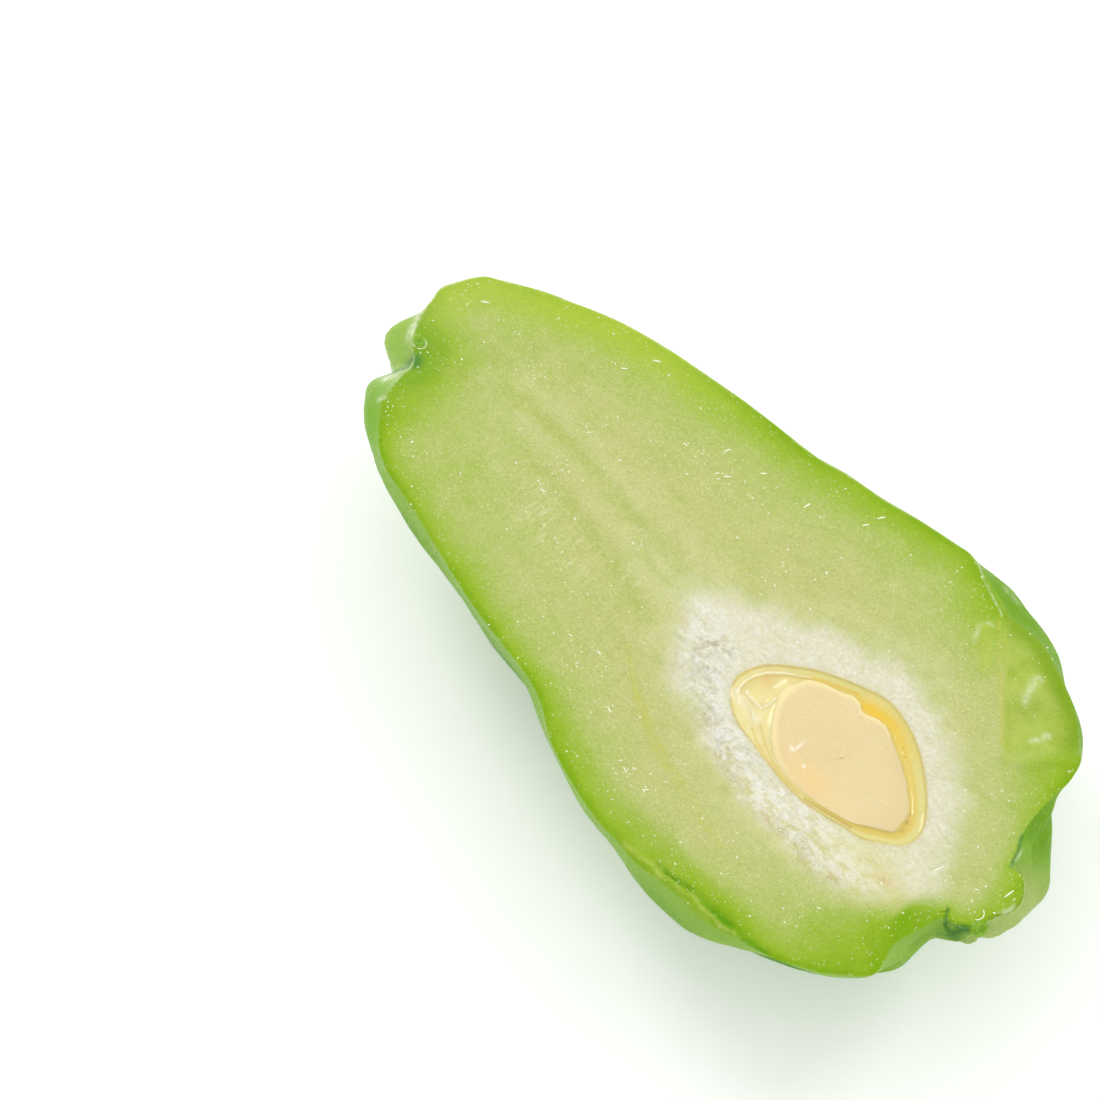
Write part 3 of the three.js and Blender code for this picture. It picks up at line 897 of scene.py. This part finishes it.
# White streaks laid where the light catches the wet face, as painted highlights: middle, length and bearing
# in degrees.
STREAKS = [
    (2.6, -9.6, 3, 62), (-1.3, 19, 2, 36), (152.4, 8.7, 2.6, 87), (140.7, 2.3, 3.4, 73),
    (71.7, 35.1, 1.9, 84), (61.4, 33.7, 1.5, 41), (57.4, 28.1, 1.6, 46), (55.6, 27.2, 1, 60),
    (82.6, 43.7, 1.9, 62), (81.8, 40.5, 1.6, 60), (53.2, 31.9, 1.6, 72), (41.7, 15.3, 1, 36),
    (148.1, 5, 0.9, 25), (37.2, 0.3, 1.4, 8), (27.2, 29.2, 1.5, 41), (30, 35, 1.9, 36),
    (47.1, 26.9, 1.3, 6), (69.6, -14.2, 1.2, 1), (79.4, -20.4, 1.5, -20), (90.3, -26.2, 1.6, -13),
    (95.6, -26.1, 1.4, 49), (91.2, -24.8, 1, 20), (88.4, -25.6, 0.9, 60),
]
# Curved white streaks by the nubs, as painted highlights: middle, radius and the bearings of the two ends.
ARCS = [(-2.2, 3.7, 1.1, -60, 110), (-2.2, 3.7, 1.2, 200, 250), (151.3, 1.9, 1.3, -40, 62)]
# Clusters of small white beads, as painted glints.
SPRAYS = [(90.8, -26.2), (95.6, -26.1), (79.6, -20.4), (64.3, -16.3), (69.7, -17.5), (37.4, 0.6), (36, 5.5),
          (57.7, 6.2), (33.1, 15.5), (50.2, 27.8), (56.9, 28)]


def on_flesh(x, y):
    """True where a bead may lie: on the flesh, clear of its edge and of the seed."""
    if HOLLOW.ratio(np.array([[x, y, 0]]))[0] < 1.08:
        return False
    edge = np.vstack([np.array(RIGHT_EDGE), np.array(LEFT_EDGE)[::-1]])
    after = np.roll(edge, -1, axis=0)
    spans = (edge[:, 1] > y) != (after[:, 1] > y)
    with np.errstate(divide="ignore", invalid="ignore"):
        meet = edge[:, 0] + (y - edge[:, 1]) * (after[:, 0] - edge[:, 0]) / (after[:, 1] - edge[:, 1])
    inside = np.count_nonzero(spans & (meet > x)) % 2 == 1
    return inside and np.min(np.linalg.norm(edge - np.array((x, y)), axis=1)) > 0.8


def bead_places():
    """Middle, size and bearing of every bead."""
    draw = random.Random(BEAD_SEED)
    places = []

    def drop(x, y, radius, longest):
        """A bead of a radius, drawn out by up to longest times."""
        size = (radius * draw.uniform(1, longest), radius, radius * 0.6)
        places.append((x, y, size, draw.uniform(0, 3.1)))

    for x, y, length, bearing in STREAKS:
        places.append((x, y, (length / 2, 0.11 + 0.025 * length, 0.08), math.radians(bearing)))
    for x, y, radius, first, last in ARCS:
        for bearing in np.radians(np.linspace(first, last, BEADS_IN_ARC)):
            spread = (x + radius * math.cos(bearing), y + radius * math.sin(bearing))
            places.append((*spread, (radius * 0.3, 0.12, 0.1), bearing + math.pi / 2))
    for x, y in SPRAYS:
        for _ in range(BEADS_IN_SPRAY):
            radius = draw.uniform(0.07, 0.17)
            drop(draw.gauss(x, 1.6), draw.gauss(y, 1.1), radius, 1.8)
    while len(places) < BEAD_COUNT:
        x, y = draw.uniform(-8, 155), draw.uniform(-36, 51)
        crowd = lumps(np.array([[x, y, 0]]), 14, 40)[0]
        if draw.random() < 0.5 + crowd:
            drop(x, y, draw.uniform(0.05, 0.13) * (1 + 0.8 * draw.random() ** 8), 2.2)
    return [place for place in places if on_flesh(*place[:2])]


def juice_beads():
    """Drops of juice on the cut face, modelled once and copied. They are white and stand for painted
    glints.
    """
    first = ball("juice_beads", *BEAD_FACES)
    unit = points_of(first)
    beads = []
    for x, y, size, bearing in bead_places():
        ground = face_relief(np.array([[x, y, 0]]))[0]
        spin = np.array(Matrix.Rotation(bearing, 3, "Z"))
        bead = first.copy()
        bead.data = first.data.copy()
        bpy.context.collection.objects.link(bead)
        at = np.array((x, y, ground + size[2] * 0.3))
        set_points(bead, to_frame((unit * np.array(size)) @ spin.T + at))
        beads.append(bead)
    bpy.data.objects.remove(first)
    select_only(beads[0])
    for bead in beads:
        bead.select_set(True)
    bpy.ops.object.join()
    beads = bpy.context.object
    beads.name = "juice_beads"
    return beads


# ---------------------------------------------------------------- shared effects

def colour(red, green, blue):
    """A colour given in screen values from 0 to 255."""
    shares = (v / 255 for v in (red, green, blue))
    return (*(v / 12.92 if v < 0.04 else ((v + 0.055) / 1.055) ** 2.4 for v in shares), 1)


class Nodes:
    """Short calls for making the nodes of a material or a group."""

    def __init__(self, tree):
        self.tree = tree

    def node(self, kind, **settings):
        made = self.tree.nodes.new(kind)
        for name, value in settings.items():
            setattr(made, name, value)
        return made

    def feed(self, target, source):
        """Feeds an input from an output, from the mask of a name, or with a plain value."""
        if isinstance(source, str):
            source = self.node("ShaderNodeAttribute", attribute_name=source).outputs["Fac"]
        if hasattr(source, "links"):
            self.tree.links.new(source, target)
        else:
            target.default_value = source

    def fed(self, kind, *sources, **settings):
        """A node with its first inputs fed, as its first output."""
        made = self.node(kind, **settings)
        for socket, source in zip(made.inputs, sources):
            self.feed(socket, source)
        return made.outputs[0]

    def maths(self, operation, first, second):
        return self.fed("ShaderNodeMath", first, second, operation=operation)

    def times(self, first, second):
        return self.maths("MULTIPLY", first, second)

    def plus(self, first, second):
        return self.maths("ADD", first, second)

    def span(self, value, low, high, out_low=0, out_high=1):
        limits = (low, high, out_low, out_high)
        return self.fed("ShaderNodeMapRange", value, *limits, interpolation_type="SMOOTHSTEP")

    def blend(self, share, first, second):
        """Mixes two colours, each one an output or screen values."""
        made = self.node("ShaderNodeMix", data_type="RGBA", clamp_factor=True)
        self.feed(made.inputs[0], share)
        for socket, shade in ((made.inputs[6], first), (made.inputs[7], second)):
            self.feed(socket, colour(*shade) if isinstance(shade, tuple) else shade)
        return made.outputs[2]


def effect(name, size_label, numbers, texture):
    """The start of a node group: a texture whose cells have a size in millimetres. Its output is a mask."""
    group = bpy.data.node_groups.new(name, "ShaderNodeTree")
    group.interface.new_socket("Place", in_out="INPUT", socket_type="NodeSocketVector")
    size = group.interface.new_socket(size_label, in_out="INPUT", socket_type="NodeSocketVector")
    size.default_value = (1, 1, 1)
    for label, value in numbers.items():
        number = group.interface.new_socket(label, in_out="INPUT", socket_type="NodeSocketFloat")
        number.default_value = value
    group.interface.new_socket("Mask", in_out="OUTPUT", socket_type="NodeSocketFloat")
    nodes = Nodes(group)
    given = nodes.node("NodeGroupInput").outputs
    made = nodes.node(texture)
    made.inputs["Scale"].default_value = 1
    shrunk = nodes.fed("ShaderNodeVectorMath", given["Place"], given[size_label], operation="DIVIDE")
    nodes.feed(made.inputs["Vector"], shrunk)
    return group, nodes, given, made, nodes.node("NodeGroupOutput").inputs[0]


def mottle_effect():
    """Cloudy noise, spread between two limits. Stretch gives its lumps' size in millimetres."""
    numbers = {"Detail": 3, "Low": 0.3, "High": 0.7}
    group, nodes, given, cloud, result = effect("mottle", "Stretch", numbers, "ShaderNodeTexNoise")
    cloud.inputs["Roughness"].default_value = 0.6
    nodes.feed(cloud.inputs["Detail"], given["Detail"])
    nodes.feed(result, nodes.span(cloud.outputs["Fac"], given["Low"], given["High"]))
    return group


def speckle_effect():
    """Small separate specks. Spacing is in millimetres, Size and Share are parts of one."""
    numbers = {"Size": 0.2, "Share": 0.5}
    group, nodes, given, cells, result = effect("speckle", "Spacing", numbers, "ShaderNodeTexVoronoi")
    parts = nodes.node("ShaderNodeSeparateColor")
    nodes.feed(parts.inputs[0], cells.outputs["Color"])
    dot = nodes.span(cells.outputs["Distance"], given["Size"], nodes.times(given["Size"], 0.5))
    kept = nodes.maths("LESS_THAN", parts.outputs[0], given["Share"])
    nodes.feed(result, nodes.times(dot, kept))
    return group


MOTTLE = mottle_effect()
SPECKLE = speckle_effect()


class Finish(Nodes):
    """A material, with short calls for the shared effects."""

    def __init__(self, name):
        self.material = bpy.data.materials.new(name)
        self.material.use_nodes = True
        super().__init__(self.material.node_tree)
        self.shader = self.tree.nodes["Principled BSDF"]
        place = self.node("ShaderNodeTexCoord").outputs["Object"]
        self.place = self.fed("ShaderNodeVectorMath", place, (1 / MM,) * 3, operation="MULTIPLY")

    def shared(self, group, size, *numbers):
        """One of the shared effects. size is one for all axes or one each."""
        size = size if isinstance(size, tuple) else (size,) * 3
        return self.fed("ShaderNodeGroup", self.place, size, *numbers, node_tree=group)

    def mottle(self, size, low=0.3, high=0.7, detail=3):
        return self.shared(MOTTLE, size, detail, low, high)

    def speckle(self, spacing, size, share):
        return self.shared(SPECKLE, spacing, size, share)

    def tint(self, base, *layers):
        """Lays colours over a base, each by its mask and its strength."""
        for mask, strength, shade in layers:
            base = self.blend(self.times(mask, strength), base, shade)
        return base

    def bumps(self, height, strength, distance):
        made = self.node("ShaderNodeBump")
        made.inputs["Strength"].default_value = strength
        made.inputs["Distance"].default_value = distance * MM
        self.feed(made.inputs["Height"], height)
        self.tree.links.new(made.outputs[0], self.shader.inputs["Normal"])

    def set(self, **values):
        for name, value in values.items():
            self.feed(self.shader.inputs[name.replace("_", " ")], value)


# ---------------------------------------------------------------- finishes

def flesh_colour(f):
    """Green at the rim, pale inside, white about the seed."""
    ramp = f.node("ShaderNodeValToRGB")
    stops = [(0, (195, 197, 125)), (0.14, (189, 197, 118)), (0.3, (179, 195, 103)), (0.5, (164, 191, 74)),
             (0.75, (151, 186, 42)), (1, (126, 172, 4))]
    while len(ramp.color_ramp.elements) < len(stops):
        ramp.color_ramp.elements.new(0.5)
    for element, (place, shade) in zip(ramp.color_ramp.elements, stops):
        element.position = place
        element.color = colour(*shade)
    uneven = f.maths("SUBTRACT", f.times(f.mottle(7), 0.16), 0.08)
    f.feed(ramp.inputs[0], f.plus("green", uneven))
    pale_grain = f.mottle(0.38, 0.48, 0.72, 2)
    green_grain = f.mottle(0.55, 0.5, 0.72, 2)
    cloudy = f.mottle(3.2, 0.4, 0.75, 4)
    glassy = f.mottle((9, 3, 4), 0.5, 0.78, 3)
    crowd = f.mottle(9, 0.35, 0.7)
    share = f.times(crowd, 0.6)
    # White specks painted on the flesh as glints of its wet cells.
    small = f.speckle(0.75, 0.26, f.plus(share, 0.12))
    large = f.speckle(2.3, 0.12, f.plus(share, 0.05))
    dashes = f.speckle((1, 3.4, 1.2), 0.14, 0.16)
    inner = f.span("green", 0.6, 0.1)
    shade = f.tint(
        ramp.outputs[0],
        (f.times("pale_strand", f.mottle(3, 0.2, 0.6)), 0.5, (209, 212, 152)),
        (f.times("green_strand", f.mottle(4, 0.2, 0.5)), 0.55, (172, 186, 84)),
        (f.times("halo", inner), 0.45, (214, 217, 164)),
        (f.times("feather", f.mottle((1, 4.5, 1.5), 0.5, 0.7)), 0.55, (222, 224, 174)),
        (f.times(cloudy, inner), 0.24, (210, 213, 150)),
        (f.times(f.mottle(1.3, 0.42, 0.72), inner), 0.24, (206, 211, 140)),
        (glassy, 0.26, (158, 178, 72)),
        ("lit_rim", 0.42, (200, 216, 84)),
        (f.times(pale_grain, f.span("green", 0.9, 0.2)), 0.4, (220, 222, 166)),
        (green_grain, 0.3, (156, 176, 70)),
        (f.times("vein", f.mottle(2.2, 0.25, 0.6)), 0.68, (196, 198, 86)),
        ("oval", 0.6, (180, 198, 70)),
        # Partly a painted highlight along the ridge.
        (f.times("ridge", f.mottle(1.6, 0.3, 0.6)), 0.6, (196, 210, 104)),
        (f.times("groove", f.mottle(3, 0.25, 0.6)), 0.8, (92, 154, 8)),
        # Painted shade in the folds.
        ("crease", 0.7, (34, 120, 48)),
    )
    torn_grain = f.times(f.mottle(0.6, 0.48, 0.6, 2), "torn")
    white = f.tint(
        (221, 217, 184),
        (f.mottle(4, 0.42, 0.7, 4), 0.4, (208, 208, 154)),
        (f.mottle(0.9, 0.4, 0.7, 3), 0.42, (236, 235, 222)),
        (f.mottle((0.8, 0.65, 0.8), 0.46, 0.72, 3), 0.38, (253, 253, 248)),
        ("core_low", 0.75, (219, 213, 138)),
        (f.times(f.mottle((3, 1.6, 2), 0.3, 0.6), "torn"), 0.75, (250, 249, 242)),
        # Painted shade between the torn crumbs.
        (torn_grain, 0.22, (206, 202, 168)),
        # Painted highlights on the torn crumbs.
        (f.times(f.speckle(1.1, 0.3, 0.5), "torn"), 0.4, (255, 254, 246)),
        (f.times("tan", f.mottle(0.9, 0.3, 0.6)), 0.7, (208, 182, 122)),
        # Painted shade in the pits.
        (f.times("pits", f.mottle(0.9, 0.46, 0.6, 2)), 0.6, (190, 183, 150)),
    )
    shade = f.blend("core", shade, white)
    return f.tint(
        shade,
        # Painted glints of the wet flesh.
        (small, 0.5, (228, 234, 184)),
        (dashes, 0.4, (238, 241, 204)),
        (large, 0.62, (252, 253, 232)),
        ("hollow_wall", 0.6, (222, 200, 110)),
    )


def skin_colour(f):
    """Mid green with paler dots, lighter towards the cut and at the ends."""
    broad = f.mottle((26, 12, 12), 0.35, 0.68, 4)
    streak = f.mottle((16, 2.6, 2.6), 0.45, 0.75)
    return f.tint(
        (88, 148, 14),
        (broad, 0.8, (124, 176, 34)),
        (streak, 0.35, (56, 116, 10)),
        (f.speckle(1.9, 0.22, 0.6), 0.3, (164, 200, 78)),
        (f.mottle(1.1, 0.5, 0.75), 0.18, (150, 190, 74)),
        ("left_band", 0.8, (154, 192, 86)),
        ("right_band", 0.7, (124, 168, 14)),
        ("stem", 0.75, (166, 202, 82)),
        ("blossom", 0.6, (150, 186, 74)),
        ("right_lobe", 0.85, (174, 192, 112)),
        ("stem_side", 0.75, (126, 178, 40)),
        # Painted shade in the folds.
        ("crease", 0.75, (26, 108, 42)),
    )


def squash_finish():
    f = Finish("wet_squash")
    glassy = f.tint(
        (172, 192, 76),
        (f.mottle(4, 0.35, 0.65), 0.7, (184, 202, 98)),
        (f.mottle((1.6, 4, 1.6), 0.55, 0.8), 0.4, (200, 214, 130)),
        (f.mottle(2.6, 0.5, 0.7), 0.35, (148, 180, 40)),
        (f.span("green", 0.55, 1), 0.85, (122, 163, 10)),
        ("lip", 0.6, (178, 202, 60)),
    )
    flesh = f.blend(f.times("patch", 0.9), flesh_colour(f), glassy)
    shade = f.blend("skin", flesh, skin_colour(f))
    # Painted highlights: a pale colour laid along the listed paths, stronger on the stem's lobes.
    gleam = f.times("gleam", f.mottle((1, 1.6, 1), 0.25, 0.68))
    strength = f.plus(f.times("stem", 0.35), 0.5)
    shade = f.blend(f.times(gleam, strength), shade, (240, 246, 214))
    # A pale line along the rim: partly the pale cut edge of the skin, partly a painted highlight, strongest
    # along the top edge and at the stem.
    edge = f.span("rim", 0.55, 0.15)
    uneven = f.mottle(5, 0.35, 0.7)
    bright = f.maths("MAXIMUM", "top_edge", "stem")
    edge_share = f.plus(f.times(bright, 0.55), 0.06)
    shade = f.blend(f.times(f.times(edge, uneven), edge_share), shade, (232, 240, 196))
    f.set(Base_Color=shade)
    wet = f.mottle(1.8, 0.3, 0.7)
    f.set(Roughness=f.span(wet, 0, 1, 0.24, 0.5))
    f.set(Subsurface_Weight=0.15, Subsurface_Radius=(1, 1, 0.45), Subsurface_Scale=1.6 * MM)
    f.set(IOR=1.16)
    f.set(Coat_Weight=f.times("stem", 0.5), Coat_Roughness=0.12)
    grain = f.plus(f.mottle(0.8, 0.2, 0.8), f.times(f.mottle(0.35, 0.2, 0.8), 0.6))
    coarse = f.times(f.mottle(1.1, 0.3, 0.7), "torn")
    f.bumps(f.plus(grain, f.times(coarse, 1.4)), 0.75, 0.26)
    return f.material


def jelly_finish():
    f = Finish("seed_jelly")
    shade = f.tint(
        (232, 220, 158),
        (f.mottle(2.2, 0.35, 0.7), 0.45, (220, 208, 128)),
        ("right_band", 0.75, (217, 209, 130)),
        ("amber", 0.75, (222, 196, 92)),
        ("gold", 0.9, (232, 194, 58)),
        ("tan", 0.7, (232, 200, 130)),
        ("grey_fold", 0.45, (214, 206, 170)),
        ("line", 0.7, (216, 184, 88)),
        # Milky membrane lines, and painted highlights in the pocket.
        ("milky", 0.8, (250, 246, 226)),
        # Painted shadow in the crevice.
        ("crevice", 0.5, (186, 160, 92)),
        ("fleck", 0.55, (160, 116, 50)),
    )
    f.set(Base_Color=shade, Roughness=0.16, Specular_IOR_Level=0.4, Coat_Weight=0.35, Coat_Roughness=0.04)
    f.set(Subsurface_Weight=0.35, Subsurface_Radius=(1, 0.8, 0.35), Subsurface_Scale=1.4 * MM, IOR=1.36)
    f.bumps(f.mottle((1, 1.8, 1), 0.2, 0.8), 0.25, 0.3)
    return f.material


def leaf_finish():
    f = Finish("seed_leaf")
    grain = f.mottle((1.6, 0.5, 1), 0.45, 0.75, 3)
    shade = f.tint(
        (226, 207, 156),
        (f.mottle(7), 0.5, (222, 200, 146)),
        (grain, 0.22, (244, 230, 190)),
        (f.mottle(0.6, 0.5, 0.8), 0.2, (246, 233, 198)),
        ("right_edge", 0.55, (218, 198, 142)),
        ("warm", 0.55, (240, 203, 134)),
        # Partly the leaf's own pale edge, partly a painted highlight on its rounded rim.
        ("edge", 0.75, (244, 226, 164)),
        ("fleck", 0.85, (255, 250, 236)),
    )
    f.set(Base_Color=shade, Roughness=f.span(f.mottle(1.6), 0, 1, 0.32, 0.5))
    f.set(Subsurface_Weight=0.25, Subsurface_Radius=(1, 0.7, 0.4), Subsurface_Scale=1.5 * MM)
    f.bumps(f.plus(grain, f.mottle(0.5, 0.2, 0.8)), 0.35, 0.12)
    return f.material


def nub_finish():
    f = Finish("nub_green")
    shade = f.tint((112, 160, 18), (f.mottle(1, 0.4, 0.65), 0.6, (150, 188, 60)),
                   (f.speckle(0.7, 0.25, 0.3), 0.4, (84, 136, 24)))
    f.set(Base_Color=shade, Roughness=0.25, IOR=1.2, Coat_Weight=0.35, Coat_Roughness=0.08)
    f.bumps(f.mottle(0.7, 0.2, 0.8), 0.3, 0.2)
    return f.material


def juice_finish():
    f = Finish("juice")
    # A white colour, so that the beads show as painted glints.
    f.set(Base_Color=f.tint((244, 248, 222), (f.mottle(3, 0.4, 0.6), 0.5, (230, 238, 186))))
    f.set(Roughness=0.06, IOR=1.34, Coat_Weight=1, Coat_Roughness=0.02)
    return f.material


def floor_finish():
    f = Finish("pale_floor")
    f.set(Base_Color=f.tint((252, 252, 252), (f.mottle(60), 0.5, (249, 249, 249))), Roughness=0.9)
    f.set(Emission_Color=(1, 1, 1, 1), Emission_Strength=0.14)
    return f.material


# ---------------------------------------------------------------- floor, light and camera

def floor():
    ground = new_piece("floor", bpy.ops.mesh.primitive_plane_add, size=6)
    ground.data.materials.append(floor_finish())


# Soft boxes: place, width and power in watts.
LIGHTS = [
    ("left_box", (-0.75, 0.05, 0.7), 0.35, 2),
    ("back_box", (0.25, 0.85, 0.75), 0.3, 2),
    ("right_box", (0.85, 0.1, 0.45), 0.3, 0.4),
]


def soft_light(name, at, size, power):
    lamp = bpy.data.lights.new(name, "AREA")
    lamp.shape = "DISK"
    lamp.size = size
    lamp.energy = power
    holder = bpy.data.objects.new(name, lamp)
    bpy.context.collection.objects.link(holder)
    holder.location = at
    holder.rotation_euler = (-Vector(at)).to_track_quat("-Z", "Y").to_euler()


def studio():
    world = bpy.data.worlds.new("white_room")
    bpy.context.scene.world = world
    world.use_nodes = True
    back = world.node_tree.nodes["Background"]
    back.inputs["Color"].default_value = (1, 1, 1, 1)
    back.inputs["Strength"].default_value = 0.92
    for light in LIGHTS:
        soft_light(*light)
    bpy.context.scene.view_settings.view_transform = "Standard"


# The camera's place is from the stem pit, in the fruit's own millimetres.
CAMERA_AT = (307.184, -231.537, 619.109)
CAMERA_AZIMUTH = math.radians(49.134)
CAMERA_ELEVATION = math.radians(61)
FRAME_SIDE = 1100
FOCAL_PIXELS = 3850


def camera():
    data = bpy.data.cameras.new("camera")
    holder = bpy.data.objects.new("camera", data)
    bpy.context.collection.objects.link(holder)
    flat = math.cos(CAMERA_ELEVATION)
    back = Vector((
        math.sin(CAMERA_AZIMUTH) * flat, -math.cos(CAMERA_AZIMUTH) * flat, math.sin(CAMERA_ELEVATION)))
    data.sensor_width = 36
    data.lens = FOCAL_PIXELS / FRAME_SIDE * data.sensor_width
    data.clip_start = 0.01
    data.clip_end = 20
    holder.location = Vector(CAMERA_AT) * MM + ZERO
    holder.rotation_euler = (-back).to_track_quat("-Z", "Y").to_euler()
    bpy.context.scene.camera = holder


# ---------------------------------------------------------------- putting it together

def settle(obj, angle, slot_name, finish, *nodes):
    """Smooths a finished piece, gives it its finish and body, and hides the solids it stands for. Its slot
    name is not used.
    """
    select_only(obj)
    bpy.ops.object.shade_smooth_by_angle(angle=math.radians(angle))
    obj.data.materials.clear()
    obj.data.materials.append(finish)
    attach(obj, "root")
    if nodes:
        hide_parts(*nodes)


half = squash_half()
raise_face(half)
cut_hollow(half)
mask_half(half)
settle(half, 55, "fruit", squash_finish(), "fruit_half")
settle(seed_jelly(), 60, "jelly", jelly_finish(), "seed_coat")
settle(seed_leaf(), 32, "seed", leaf_finish(), "seed_kernel")

nub_green = nub_finish()
for name, at, size, lean in (
    ("blossom_nub", (153.2, 0.5, -1.1), (1.8, 1.7, 1.3), 35),
    ("stem_nub", (-2.2, 3.7, -0.6), (1.3, 1.4, 1), -25),
):
    settle(nub(name, at, size, lean), 60, "fruit", nub_green)

settle(juice_beads(), 45, "jelly", juice_finish())

floor()
studio()
camera()
